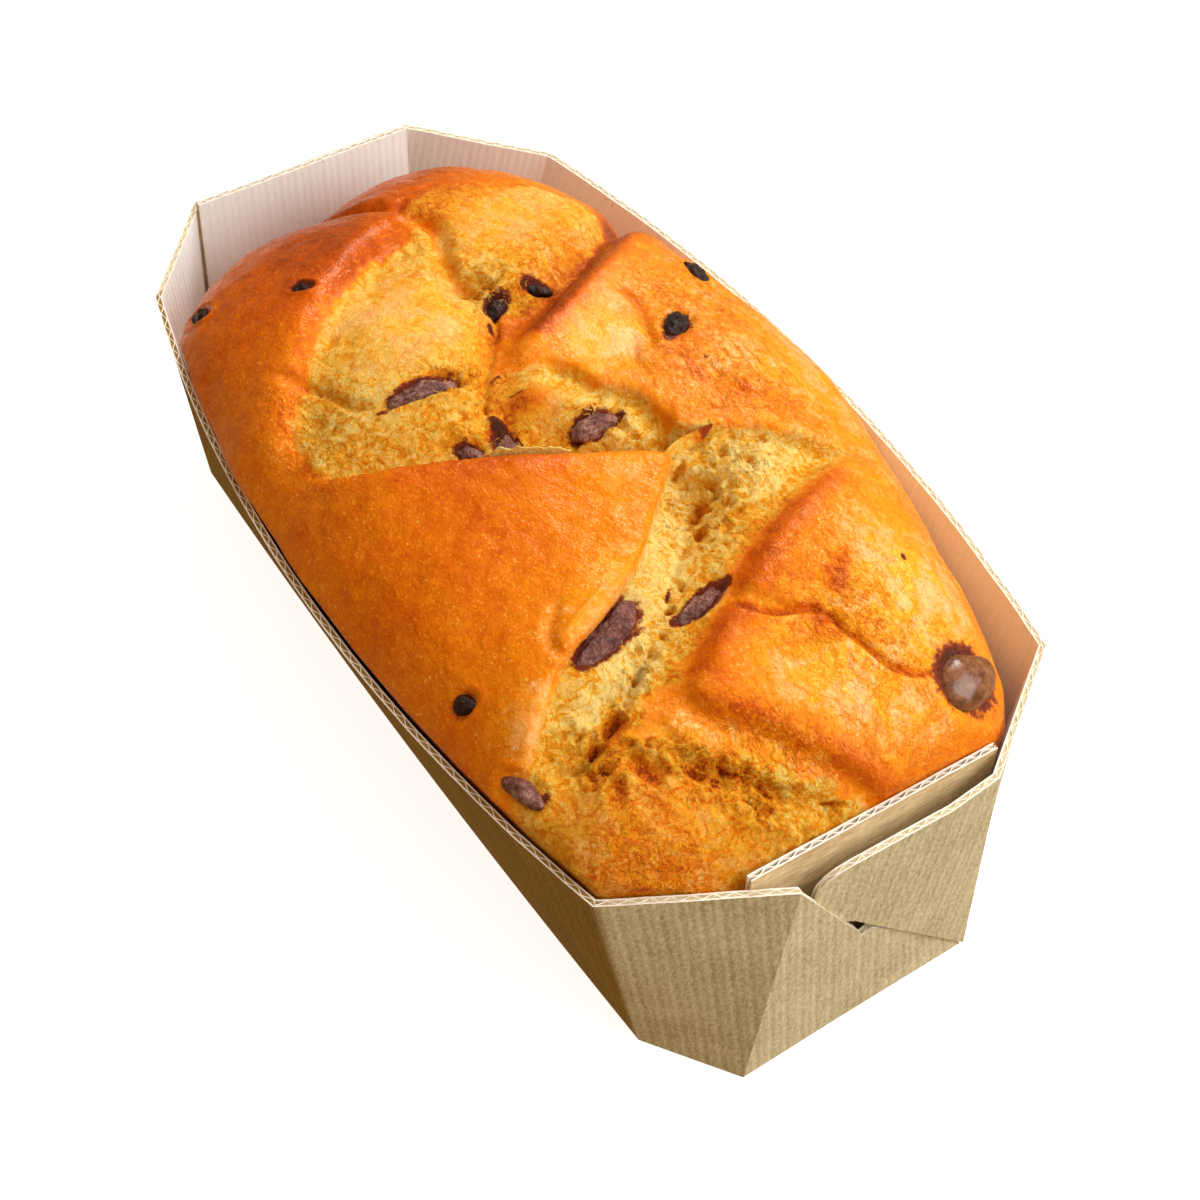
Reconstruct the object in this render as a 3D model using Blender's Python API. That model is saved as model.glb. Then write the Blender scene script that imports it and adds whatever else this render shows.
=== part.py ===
"""Chocolate chip tin loaf, standing in the folded corrugated paper case it was baked in.

The bread is one solid: a domed top with its raised crust lobes and torn clefts as relief, and
sides that follow the inside of the case. The case is one folded sheet. Each chocolate chip
that shows is a solid of its own, sitting in a pocket of the bread.

Places are given in millimetres in plan: +X to the near end, +Y to the right long side, +Z up.
"""
import bpy
import numpy as np
from mathutils import noise

MM = 0.001

# The case: outside sizes
BOARD = 1.3            # thickness of the fine corrugated board
CASE_HEIGHT = 53.5
PANEL_HEIGHT = 56.0    # the folded-up end panels stand a little over the rim
SLIT_HEIGHT = 31.4     # where the two outer end flaps lock
RIM_BOW = {"left": 10.0, "right": 8.8}
BASE_BOW = 1.5
BASE_SPREAD = 1.003    # the base panel stands out this little past the feet of the walls
MIDDLE = (-1.11, -0.65)   # plan middle of the case, moved to the origin

# Corners of the case in plan, rim and base, going round from the near end
NEAR_LEFT_END = {"rim": (93.5, -20.5), "base": (94.0, -24.5), "top": 54.5}
NEAR_LEFT_SIDE = {"rim": (77.5, -48.0), "base": (78.5, -35.5), "top": 52.7}
FAR_LEFT_SIDE = {"rim": (-75.5, -43.0), "base": (-77.0, -35.0), "top": 54.0}
FAR_LEFT_END = {"rim": (-96.5, -23.5), "base": (-95.5, -24.5), "top": 54.0}
FAR_RIGHT_END = {"rim": (-95.5, 23.5), "base": (-95.0, 24.5), "top": 54.5}
FAR_RIGHT_SIDE = {"rim": (-74.5, 45.5), "base": (-77.0, 35.5), "top": 52.7}
NEAR_RIGHT_SIDE = {"rim": (76.5, 45.5), "base": (78.5, 36.0), "top": 53.5}
NEAR_RIGHT_END = {"rim": (93.0, 20.5), "base": (94.0, 25.0), "top": 53.5}

# Outer faces of the inner end panels: x at the base and at the top, then the y range at each,
# and how high the top edge stands at its two ends
NEAR_PANEL = {"x": (90.3, 88.3), "base": (-24.4, 24.4), "top": (-26.3, 24.2),
              "height": (56.0, 53.6)}
FAR_PANEL = {"x": (-92.4, -93.5), "base": (-24.0, 24.0), "top": (-24.7, 22.0),
             "height": (56.0, 56.0)}

# The bread: a dome over an uneven outline
EDGE_HEIGHT = 42.0
TOP_HEIGHT = 72.2
DOME_FLATNESS = 3.0
DOME_SHOULDER = 2.6
WALL_GAP = 0.5
WALL_EASE = 0.6        # extra room half way up, where the twisted corner panels bulge in
OVER_THE_RIM = 54.8    # above this the bread may swell outwards again
OVERHANG = 1.5         # and this far for each millimetre of height
FLOOR_GAP = 0.4
FOOT_ROUNDING = 5.0
OUTLINE = ((90, 0), (90, 14), (88, 25), (80.5, 34), (66.3, 40.2), (48.9, 45), (20.6, 52),
           (0, 53.3), (-29.8, 49.1), (-53.8, 42.1), (-70.7, 34), (-81, 20), (-82.5, 4),
           (-78.5, -10), (-78.5, -23), (-74.5, -33), (-69, -41), (-61, -47), (-40, -52.5),
           (-10, -56), (10, -56.5), (40, -55), (62, -52), (80, -46), (89, -17))
GRID_LONG = 72
GRID_WIDE = 39
GRID_CORNER = (76, 40)   # the grid's corners point this way from the middle of the loaf
EDGE_CROWDING = 1.25   # above 1, grid lines gather towards the steep outline
SIDE_RINGS = 4
SIDE_FLARE = 0.03      # the sides may widen this much on their way down

# Rolled edges of the crust lobes, each with the raised side on the left of its points
SHARPEST_EDGE = 2.1    # no edge turns over faster than the grid of the bread can follow
USUAL_ENDS = (0.16, 0.16)   # shares of a path over which it fades in and out
LOBE_BORDER = 2.4
LOBE_HOLD = 0.9        # how much of a cleft the big left lobe holds back
CRUST_EDGES = (
    {"name": "far edge of the big left lobe", "lift": 1.6, "lift_width": 9, "drop": 4.0,
     "drop_width": 8, "edge": 1.1, "ends": (0.03, 0.25),
     "path": ((21.8, 5.2), (18.4, 0.6), (14.1, -6.4), (8.6, -16.2), (3.0, -26.0),
              (-3.2, -36.8), (-11, -47))},
    {"name": "near edge of the big left lobe", "lift": 1.2, "lift_width": 9, "drop": 2.6,
     "drop_width": 7, "edge": 1.1, "ends": (0.25, 0.03),
     "path": ((60, -51), (52, -41.5), (47, -35), (44.6, -30), (42.7, -24), (40.4, -19),
              (34.8, -10), (27.2, -1.6), (22.2, 4.6))},
    {"name": "inner edge of the far left lobe", "lift": 2.2, "lift_width": 11, "drop": 2.4,
     "drop_width": 9, "edge": 3.0,
     "path": ((-14, -50), (-24, -42), (-35, -32.5), (-46, -19), (-51, -10), (-51, 2))},
    {"name": "rolled fold of the long right lobe", "lift": 2.4, "lift_width": 7, "drop": 2.6,
     "drop_width": 4, "edge": 1.3,
     "path": ((-41, 46), (-34, 33), (-27.5, 23.5), (-20, 13), (-14, 3), (-9, 0), (5, 3))},
    {"name": "torn edge of the long right lobe", "lift": 0.7, "lift_width": 5, "drop": 1.8,
     "drop_width": 6, "edge": 1.4,
     "path": ((-2, 2), (5, 4.5), (13, 9.5), (19, 13), (23, 22), (28, 28), (33, 38))},
    {"name": "left edge of the near right lobe", "lift": 1.8, "lift_width": 9, "drop": 1.8,
     "drop_width": 5, "edge": 1.5,
     "path": ((30, 42), (34, 30), (40, 17.5), (43, 9), (50, -1), (52, -4))},
    {"name": "lower edge of the near right lobe", "lift": 1.6, "lift_width": 10, "drop": 2.4,
     "drop_width": 6, "edge": 1.5,
     "path": ((50, 0), (51.5, -5), (55, -12), (60, -17.5), (66, -15.5), (73, -10), (88, 2))},
)

# Clefts and creases, with their depth and half width
CLEFTS = (
    {"name": "main cleft", "depth": 2.7, "width": 5.5,
     "path": ((-40, -3), (-25, -1), (-18, -5), (-8, -11), (2, -13), (11, -6), (18, 2), (25, 6))},
    {"name": "valley beside the big left lobe", "depth": 4.0, "width": 6.5,
     "path": ((22, 8), (31, 2), (41, -7), (49, -16), (56, -28), (61, -38), (61, -50))},
    {"name": "crease round the far left lobe", "depth": 2.6, "width": 2.2,
     "path": ((-77, -14), (-61, -1), (-52, 2.6), (-46, 1.2), (-40, -1.7), (-35, -2),
              (-29, 1.5))},
    {"name": "foot of the torn bulge", "depth": 1.2, "width": 1.8,
     "path": ((-35, -40), (-24.5, -35.1), (-18.8, -33.2), (-14.9, -28), (-12.2, -18.1),
              (-11, -13))},
    {"name": "valley beside the rolled fold", "depth": 2.4, "width": 4.0,
     "path": ((-46, 47), (-37, 32), (-28, 15), (-24, 0))},
    {"name": "crease of the near right lobe", "depth": 1.4, "width": 1.5,
     "path": ((53.2, -2.4), (56.2, 1.2), (58.2, 6.4), (63.8, 8.6), (72.4, 12.2), (76, 20))},
    {"name": "torn crevice at the near end", "depth": 2.2, "width": 2.6,
     "path": ((57, -36), (67, -30), (73, -22), (80, -14), (88, -4))},
)

# Broad swellings: centre, half sizes, turn in degrees, height
SWELLINGS = (
    {"name": "torn bulge", "at": (-31, -16), "size": (15, 12), "turn": 40, "height": 1.6},
    {"name": "far end lobe", "at": (-62, 14), "size": (18, 16), "turn": 0, "height": 1.0},
    {"name": "far left lobe", "at": (-58, -18), "size": (14, 22), "turn": 20, "height": 1.4},
    {"name": "long right lobe", "at": (4, 30), "size": (26, 13), "turn": -8, "height": 1.4},
    {"name": "near right lobe", "at": (64, 14), "size": (18, 14), "turn": -20, "height": 1.6},
    {"name": "near left corner", "at": (76, -34), "size": (14, 10), "turn": 60, "height": 1.4},
    {"name": "skinned dough by the cleft", "at": (-2.6, -7.8), "size": (4.6, 3.0), "turn": 62,
     "height": 2.0},
    {"name": "torn crumb by the middle chip", "at": (2.5, -2.5), "size": (4.2, 2.2), "turn": 30,
     "height": 1.4},
)

# Slow unevenness of the baked surface
WAVE_LENGTH = 13.0
WAVE_HEIGHT = 0.45

# Chocolate chips: plan place, half sizes, heading in degrees, how far they stand out
CHIPS = (
    {"name": "chip_big", "at": (78.5, 25.0), "size": (6.6, 4.9, 3.3), "turn": 100, "proud": 2.0},
    {"name": "chip_lobe_edge", "at": (44.2, -23.8), "size": (8.5, 3.2, 2.8), "turn": -71,
     "proud": 1.0},
    {"name": "chip_valley", "at": (46.9, -6.4), "size": (5.2, 1.8, 1.5), "turn": -76,
     "proud": 0.35},
    {"name": "chip_middle", "at": (7.0, -0.9), "size": (4.3, 2.1, 2.1), "turn": 86,
     "proud": 1.2},
    {"name": "chip_cleft", "at": (1.8, -15.4), "size": (3.4, 2.5, 1.8), "turn": -10,
     "proud": 0.7},
    {"name": "chip_under_lobe", "at": (0.4, -22.0), "size": (2.7, 1.8, 1.5), "turn": 35,
     "proud": 0.8},
    {"name": "chip_long", "at": (-14.0, -22.4), "size": (6.6, 2.1, 1.8), "turn": 79,
     "proud": 0.8},
    {"name": "chip_fold_low", "at": (-26.8, 1.2), "size": (3.2, 2.1, 1.9), "turn": -60,
     "proud": 0.8},
    {"name": "chip_fold_high", "at": (-27.5, 10.2), "size": (3.0, 1.5, 1.4), "turn": 60,
     "proud": 0.7},
    {"name": "chip_far_left", "at": (-46.8, -26.2), "size": (2.2, 1.3, 1.2), "turn": 50,
     "proud": 0.3},
    {"name": "chip_far_corner", "at": (-62.5, -40.0), "size": (3.0, 1.8, 1.5), "turn": 10,
     "proud": 0.7},
    {"name": "chip_right_lobe", "at": (-4.6, 24.6), "size": (3.7, 2.6, 2.2), "turn": -55,
     "proud": 1.2},
    {"name": "chip_right_side", "at": (-19.2, 40.2), "size": (4.3, 2.0, 1.7), "turn": -22,
     "proud": 0.9},
    {"name": "chip_under_skin", "at": (40.4, -47.8), "size": (2.2, 1.8, 1.3), "turn": 70,
     "proud": 0.6},
    {"name": "chip_left_rim", "at": (57.2, -48.2), "size": (4.2, 1.9, 1.7), "turn": 12,
     "proud": 0.9},
)
CHIP_SLICES = 10
CHIP_STACKS = 6
POCKET_GAP = 0.45


def clear_scene():
    for thing in list(bpy.data.objects):
        bpy.data.objects.remove(thing, do_unlink=True)


def material(name, colour, roughness):
    made = bpy.data.materials.new(name)
    made.use_nodes = True
    shader = made.node_tree.nodes["Principled BSDF"]
    shader.inputs["Base Color"].default_value = (*colour, 1.0)
    shader.inputs["Roughness"].default_value = roughness
    shader.inputs["Metallic"].default_value = 0.0
    made.diffuse_color = (*colour, 1.0)
    return made


def solid(name, points, faces, look):
    """A mesh object from points in millimetres, moved so that the case is centred in plan."""
    points = (np.asarray(points, float) - (*MIDDLE, 0.0)) * MM
    mesh = bpy.data.meshes.new(name)
    mesh.from_pydata([tuple(p) for p in points], [], faces)
    mesh.materials.append(look)
    thing = bpy.data.objects.new(name, mesh)
    bpy.context.collection.objects.link(thing)
    return thing


def smooth_path(points, spacing=3.0, closed=False):
    """A Catmull-Rom curve through the points."""
    p = np.array(points, float)
    if closed:
        p = np.vstack([p[-1], p, p[0], p[1]])
    else:
        p = np.vstack([2 * p[0] - p[1], p, 2 * p[-1] - p[-2]])
    pieces = []
    for a, b, c, d in zip(p, p[1:], p[2:], p[3:]):
        count = max(2, int(np.hypot(*(c - b)) / spacing))
        t = np.arange(count)[:, None] / count
        pieces.append(0.5 * (2 * b + (c - a) * t + (2 * a - 5 * b + 4 * c - d) * t ** 2
                             + (3 * b - a - 3 * c + d) * t ** 3))
    if not closed:
        pieces.append(p[-2:-1])
    return np.vstack(pieces)


def from_path(x, y, points):
    """Distance to a path, the side (+1 on its left) and the share of the way along it."""
    path = smooth_path(points)
    nearest = np.full(x.shape, 1e9)
    side = np.ones(x.shape)
    along = np.zeros(x.shape)
    steps = len(path) - 1
    for i, (start, end) in enumerate(zip(path, path[1:])):
        dx, dy = end - start
        t = ((x - start[0]) * dx + (y - start[1]) * dy) / (dx * dx + dy * dy)
        t = np.clip(t, 0, 1)
        away_x = x - start[0] - t * dx
        away_y = y - start[1] - t * dy
        distance = np.hypot(away_x, away_y)
        closer = distance < nearest
        nearest = np.where(closer, distance, nearest)
        side = np.where(closer, np.where(dx * away_y - dy * away_x >= 0, 1.0, -1.0), side)
        along = np.where(closer, (i + t) / steps, along)
    return nearest, side, along


def smooth_step(value):
    value = np.clip(value, 0, 1)
    return value * value * (3 - 2 * value)


def fading(along, ends):
    """1 along a path, easing to 0 over these shares of it at its start and end."""
    return smooth_step(along / ends[0]) * smooth_step((1 - along) / ends[1])


def inside(x, y, outline):
    """Signed distance to a closed outline, positive inside."""
    ring = np.array(outline, float)
    within = np.zeros(x.shape, bool)
    nearest = np.full(x.shape, 1e9)
    for a, b in zip(ring, np.roll(ring, -1, 0)):
        crosses = (a[1] > y) != (b[1] > y)
        rise = b[1] - a[1] if b[1] != a[1] else 1e-9
        within ^= crosses & (x < a[0] + (y - a[1]) * (b[0] - a[0]) / rise)
        step = b - a
        t = np.clip(((x - a[0]) * step[0] + (y - a[1]) * step[1]) / (step ** 2).sum(), 0, 1)
        nearest = np.minimum(nearest, np.hypot(x - a[0] - t * step[0], y - a[1] - t * step[1]))
    return np.where(within, nearest, -nearest)


def on_big_lobe(x, y):
    """1 on the big left lobe and 0 beside it, because clefts stop at its two edges."""
    outline = CRUST_EDGES[0]["path"] + CRUST_EDGES[1]["path"]
    return smooth_step(0.5 + inside(x, y, outline) / LOBE_BORDER)


def crust_edge(x, y, edge):
    distance, side, along = from_path(x, y, edge["path"])
    raised = 0.5 + 0.5 * np.tanh(distance * side / max(edge["edge"], SHARPEST_EDGE))
    up = edge["lift"] * np.exp(-(distance / edge["lift_width"]) ** 2)
    down = edge["drop"] * np.exp(-(distance / edge["drop_width"]) ** 2)
    ends = edge.get("ends", USUAL_ENDS)
    return fading(along, ends) * (raised * up - (1 - raised) * down)


def cleft(x, y, dent):
    distance, _, along = from_path(x, y, dent["path"])
    return -dent["depth"] * np.exp(-(distance / dent["width"]) ** 2) * fading(along, USUAL_ENDS)


def swelling(x, y, bump):
    turn = np.radians(bump["turn"])
    dx, dy = x - bump["at"][0], y - bump["at"][1]
    along = (dx * np.cos(turn) + dy * np.sin(turn)) / bump["size"][0]
    across = (dy * np.cos(turn) - dx * np.sin(turn)) / bump["size"][1]
    return bump["height"] * np.exp(-along ** 2 - across ** 2)


def unevenness(x, y):
    places = zip(np.ravel(x) / WAVE_LENGTH, np.ravel(y) / WAVE_LENGTH)
    waves = [noise.noise((a, b, 0.5)) for a, b in places]
    return WAVE_HEIGHT * np.reshape(waves, np.shape(x))


def relief(x, y):
    """Height of the crust and torn crumb over the plain dome."""
    height = unevenness(x, y)
    for edge in CRUST_EDGES:
        height = height + crust_edge(x, y, edge)
    spared = 1 - LOBE_HOLD * on_big_lobe(x, y)
    for dent in CLEFTS:
        height = height + cleft(x, y, dent) * spared
    for bump in SWELLINGS:
        height = height + swelling(x, y, bump)
    return height


def outline_radius(angle):
    ring = smooth_path(OUTLINE, spacing=2.0, closed=True)
    angles = np.arctan2(ring[:, 1], ring[:, 0])
    order = np.argsort(angles)
    return np.interp(angle, angles[order], np.hypot(ring[:, 0], ring[:, 1])[order],
                     period=2 * np.pi)


def dome_height(share):
    """Height at a share of the way from the middle to the outline."""
    rise = np.clip(1 - share ** DOME_FLATNESS, 0, 1) ** (1 / DOME_SHOULDER)
    return EDGE_HEIGHT + (TOP_HEIGHT - EDGE_HEIGHT) * rise


def long_wall(start, end, bow, count, key):
    """Plan points of a bowed long wall, with the end points."""
    t = np.linspace(0, 1, count + 1)[:, None]
    line = (1 - t) * np.array(start[key], float) + t * np.array(end[key], float)
    line[:, 1] += bow * (1 - (2 * t[:, 0] - 1) ** 2)
    return line


def wall_ring(key):
    """The case's wall corners and bowed sides in plan, near left round to near right."""
    left_bow, right_bow = RIM_BOW["left"], RIM_BOW["right"]
    if key == "base":
        left_bow = right_bow = BASE_BOW
    left = long_wall(NEAR_LEFT_SIDE, FAR_LEFT_SIDE, -left_bow, 10, key)
    right = long_wall(FAR_RIGHT_SIDE, NEAR_RIGHT_SIDE, right_bow, 10, key)
    return np.vstack([NEAR_LEFT_END[key], left, FAR_LEFT_END[key],
                      FAR_RIGHT_END[key], right, NEAR_RIGHT_END[key]])


def room_radius(angle, z):
    """How far out of the middle the bread may reach at a height, inside the case."""
    base, rim = wall_ring("base"), wall_ring("rim")
    share = np.clip(z / CASE_HEIGHT, 0, 1.02)
    ux, uy = np.cos(angle), np.sin(angle)
    inset = BOARD + WALL_GAP + WALL_EASE * 4 * share * (1 - np.minimum(share, 1))
    reach = np.full(np.shape(angle), 1e9)
    for i in range(len(rim) - 1):
        ax = base[i, 0] + share * (rim[i, 0] - base[i, 0])
        ay = base[i, 1] + share * (rim[i, 1] - base[i, 1])
        bx = base[i + 1, 0] + share * (rim[i + 1, 0] - base[i + 1, 0])
        by = base[i + 1, 1] + share * (rim[i + 1, 1] - base[i + 1, 1])
        length = np.hypot(bx - ax, by - ay)
        nx, ny = -(by - ay) / length, (bx - ax) / length
        facing = ux * nx + uy * ny
        room = (ax * nx + ay * ny - inset) / np.where(facing > 1e-6, facing, 1.0)
        reach = np.where(facing > 1e-6, np.minimum(reach, room), reach)
    reach = reach + OVERHANG * np.maximum(z - OVER_THE_RIM, 0)
    for panel, sign in ((NEAR_PANEL, 1), (FAR_PANEL, -1)):
        bottom, top = (sign * x - BOARD - WALL_GAP for x in panel["x"])
        limit = bottom + (top - bottom) * z / PANEL_HEIGHT
        limit = limit + OVERHANG * np.maximum(z - PANEL_HEIGHT - 0.4, 0)
        toward = sign * ux
        room = limit / np.where(toward > 1e-6, toward, 1.0)
        reach = np.where(toward > 1e-6, np.minimum(reach, room), reach)
    return reach


def keep_inside(points):
    """Draw points that would touch the case in to its inside."""
    angle = np.arctan2(points[..., 1], points[..., 0])
    radius = np.hypot(points[..., 0], points[..., 1])
    inside = np.minimum(radius, room_radius(angle, points[..., 2]))
    return np.stack([inside * np.cos(angle), inside * np.sin(angle), points[..., 2]], -1)


def dome_grid(count_long, count_wide):
    """Points of the bread's top on a grid that fills the outline evenly."""
    u = np.linspace(-1, 1, count_long + 1)
    v = np.linspace(-1, 1, count_wide + 1)
    u, v = np.meshgrid(u, v, indexing="ij")
    ring = np.maximum(np.abs(u), np.abs(v))
    angle = np.arctan2(GRID_CORNER[1] * v, GRID_CORNER[0] * u)
    share = 1 - (1 - ring) ** EDGE_CROWDING
    radius = share * outline_radius(angle)
    plain = np.stack([radius * np.cos(angle), radius * np.sin(angle), dome_height(share)], -1)
    along_u = np.gradient(plain, axis=0)
    along_v = np.gradient(plain, axis=1)
    outward = np.cross(along_u, along_v)
    outward /= np.linalg.norm(outward, axis=-1, keepdims=True)
    return plain, outward


def surface_point(x, y):
    """Place and outward direction on the baked surface over a plan point."""
    step = 0.8
    xs = np.array([x, x + step, x])
    ys = np.array([y, y, y + step])
    share = np.hypot(xs, ys) / outline_radius(np.arctan2(ys, xs))
    plain = np.stack([xs, ys, dome_height(share)], -1)
    outward = np.cross(plain[1] - plain[0], plain[2] - plain[0])
    outward /= np.linalg.norm(outward)
    return plain[0] + outward * relief(xs, ys)[0], outward


def build_loaf(look):
    plain, outward = dome_grid(GRID_LONG, GRID_WIDE)
    top = plain + outward * relief(plain[..., 0], plain[..., 1])[..., None]
    top = keep_inside(top)
    rows, columns = top.shape[:2]
    number = np.arange(rows * columns).reshape(rows, columns)
    points = [top.reshape(-1, 3)]
    faces = [(number[i, j], number[i + 1, j], number[i + 1, j + 1], number[i, j + 1])
             for i in range(rows - 1) for j in range(columns - 1)]
    rim = np.concatenate([number[:-1, 0], number[-1, :-1], number[:0:-1, -1], number[0, :0:-1]])
    edge = top.reshape(-1, 3)[rim]
    count = len(rim)
    above = rim
    for k in range(1, SIDE_RINGS + 1):
        share = k / SIDE_RINGS
        ring = edge.copy()
        ring[:, 2] = edge[:, 2] + (BOARD + FLOOR_GAP - edge[:, 2]) * share
        ring[:, :2] *= 1 + SIDE_FLARE * share
        ring = keep_inside(ring)
        if k == SIDE_RINGS:
            foot = ring.copy()
            ring[:, 2] += FOOT_ROUNDING
            ring = keep_inside(ring)
            foot[:, :2] *= 1 - FOOT_ROUNDING / np.hypot(foot[:, 0], foot[:, 1])[:, None]
            rings = [ring, foot]
        else:
            rings = [ring]
        for part in rings:
            below = np.arange(count) + sum(len(p) for p in points)
            points.append(part)
            faces += [(above[i], below[i], below[(i + 1) % count], above[(i + 1) % count])
                      for i in range(count)]
            above = below
    faces.append(tuple(above[::-1]))
    loaf = solid("loaf", np.vstack(points), [tuple(int(n) for n in f) for f in faces], look)
    loaf.data.shade_smooth()
    return loaf


def chip_points(chip, grow):
    """A lumpy, flattened drop of chocolate lying on the bread."""
    place, outward = surface_point(*chip["at"])
    turn = np.radians(chip["turn"])
    heading = np.array([np.cos(turn), np.sin(turn), 0.0])
    heading -= outward * heading.dot(outward)
    heading /= np.linalg.norm(heading)
    across = np.cross(outward, heading)
    half = np.array(chip["size"]) + grow
    middle = place + outward * (chip["proud"] - chip["size"][2])
    points = [middle - outward * half[2]]
    for i in range(1, CHIP_STACKS):
        tilt = np.pi * i / CHIP_STACKS
        for j in range(CHIP_SLICES):
            spin = 2 * np.pi * j / CHIP_SLICES
            lump = 1 + 0.07 * np.sin(2 * spin + chip["at"][0]) + 0.05 * np.cos(3 * spin + 1)
            points.append(middle
                          + heading * half[0] * lump * np.sin(tilt) * np.cos(spin)
                          + across * half[1] * lump * np.sin(tilt) * np.sin(spin)
                          - outward * half[2] * np.cos(tilt))
    points.append(middle + outward * half[2])
    return points


def chip_faces():
    n = CHIP_SLICES
    last = 1 + n * (CHIP_STACKS - 1)
    faces = [(0, 1 + (j + 1) % n, 1 + j) for j in range(n)]
    for i in range(CHIP_STACKS - 2):
        a, b = 1 + n * i, 1 + n * (i + 1)
        faces += [(a + j, a + (j + 1) % n, b + (j + 1) % n, b + j) for j in range(n)]
    start = last - n
    faces += [(start + j, start + (j + 1) % n, last) for j in range(n)]
    return faces


def build_chip(chip, look):
    thing = solid(chip["name"], chip_points(chip, 0.0), chip_faces(), look)
    thing.data.shade_smooth()
    return thing


def apply_modifiers(thing):
    evaluated = thing.evaluated_get(bpy.context.evaluated_depsgraph_get())
    mesh = bpy.data.meshes.new_from_object(evaluated)
    thing.modifiers.clear()
    thing.data = mesh


def boolean_with(thing, helpers, operation, name):
    """Join or cut with several helper solids at once, then remove them."""
    group = bpy.data.collections.new(name)
    bpy.context.scene.collection.children.link(group)
    for helper in helpers:
        helper.hide_render = True
        helper.display_type = "WIRE"
        bpy.context.collection.objects.unlink(helper)
        group.objects.link(helper)
    change = thing.modifiers.new(name, "BOOLEAN")
    change.operation = operation
    change.solver = "EXACT"
    change.operand_type = "COLLECTION"
    change.collection = group
    apply_modifiers(thing)
    for helper in helpers:
        bpy.data.objects.remove(helper, do_unlink=True)
    bpy.data.collections.remove(group)


def cut_pockets(loaf, look):
    pockets = [solid("pocket", chip_points(chip, POCKET_GAP), chip_faces(), look)
               for chip in CHIPS]
    boolean_with(loaf, pockets, "DIFFERENCE", "pockets")


def inset_path(path, distance):
    """The path moved to its left by a distance, with mitred corners."""
    steps = np.diff(path, axis=0)
    steps /= np.linalg.norm(steps, axis=1, keepdims=True)
    normals = np.stack([-steps[:, 1], steps[:, 0]], 1)
    before = np.vstack([normals[:1], normals])
    after = np.vstack([normals, normals[-1:]])
    mitre = before + after
    return path + distance * 2 * mitre / (mitre ** 2).sum(1, keepdims=True)


def folded_strip(name, stations, look, inward, levels=4):
    """A run of wall panels of one board thickness, from (foot point, top point) pairs."""
    feet = np.array([s[0] for s in stations], float)
    tops = np.array([s[1] for s in stations], float)
    count = len(stations)
    layers = []
    for k in range(levels):
        share = k / (levels - 1)
        outer = (1 - share) * feet + share * tops
        inner = outer.copy()
        inner[:, :2] = inset_path(outer[:, :2], inward * BOARD)
        layers.append((outer, inner))
    points = np.vstack([part for layer in layers for part in layer])
    outer_at = [2 * k * count for k in range(levels)]
    inner_at = [(2 * k + 1) * count for k in range(levels)]
    faces = []
    for i in range(count - 1):
        for k in range(levels - 1):
            a, b = outer_at[k] + i, outer_at[k + 1] + i
            faces.append((a, a + 1, b + 1, b))
            c, d = inner_at[k] + i, inner_at[k + 1] + i
            faces.append((c + 1, c, d, d + 1))
        low_out, low_in = outer_at[0] + i, inner_at[0] + i
        faces.append((low_out + 1, low_out, low_in, low_in + 1))
        top_out, top_in = outer_at[-1] + i, inner_at[-1] + i
        faces.append((top_out, top_out + 1, top_in + 1, top_in))
    for i, flip in ((0, False), (count - 1, True)):
        for k in range(levels - 1):
            face = (outer_at[k] + i, outer_at[k + 1] + i, inner_at[k + 1] + i, inner_at[k] + i)
            faces.append(face[::-1] if flip else face)
    if inward < 0:
        faces = [face[::-1] for face in faces]
    return solid(name, points, faces, look)


FOOT = 0.4    # walls start inside the thickness of the base panel
PANEL_FEET = (0.6, 0.6)


def corner(place):
    return ((*place["base"], FOOT), (*place["rim"], place["top"]))


def side_stations(start, end, bow):
    feet = long_wall(start, end, np.sign(bow) * BASE_BOW, 10, "base")
    rims = long_wall(start, end, bow, 10, "rim")
    heights = np.linspace(start["top"], end["top"], len(rims))
    return [((*foot, FOOT), (*rim, height)) for foot, rim, height in zip(feet, rims, heights)]


def falling_flap(x_slit, x_tip):
    """The outer end flap whose top edge falls away, stations from its tip to its slit."""
    return [((x_tip, 21.0, FOOT), (x_tip, 21.0, 9.0)),
            ((x_slit, -4.5, FOOT), (x_slit, -4.5, SLIT_HEIGHT))]


def rising_flap(x_fold, x_slit, x_tip, top):
    """The outer end flap that laps over the other beyond the slit, its round tip first."""
    x_round = x_tip + 0.2 * (x_slit - x_tip)
    x_middle = 0.5 * (x_slit + x_fold)
    return [((x_tip, -15.7, 43.5), (x_tip, -15.7, 47.0)),
            ((x_round, -13.8, 40.5), (x_round, -13.8, top - 2.4)),
            ((x_round, -9.5, 37.0), (x_round, -9.5, top - 0.5)),
            ((x_slit, -4.5, SLIT_HEIGHT + 1.5), (x_slit, -4.5, top)),
            ((x_middle, 10.0, 16.5), (x_middle, 8.0, top))]


def end_panel(name, panel, sign, look):
    """The inner end panel, folded up from the base and leaning a little inward."""
    points = []
    for key, x, heights in (("base", panel["x"][0], PANEL_FEET),
                            ("top", panel["x"][1], panel["height"])):
        for y, z in zip(panel[key], heights):
            points.append((x, y, z))
            points.append((x - sign * BOARD, y, z))
    faces = [(0, 2, 6, 4), (3, 1, 5, 7), (1, 0, 4, 5), (2, 3, 7, 6), (4, 6, 7, 5), (1, 3, 2, 0)]
    if sign < 0:
        faces = [face[::-1] for face in faces]
    return solid(name, points, faces, look)


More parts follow.
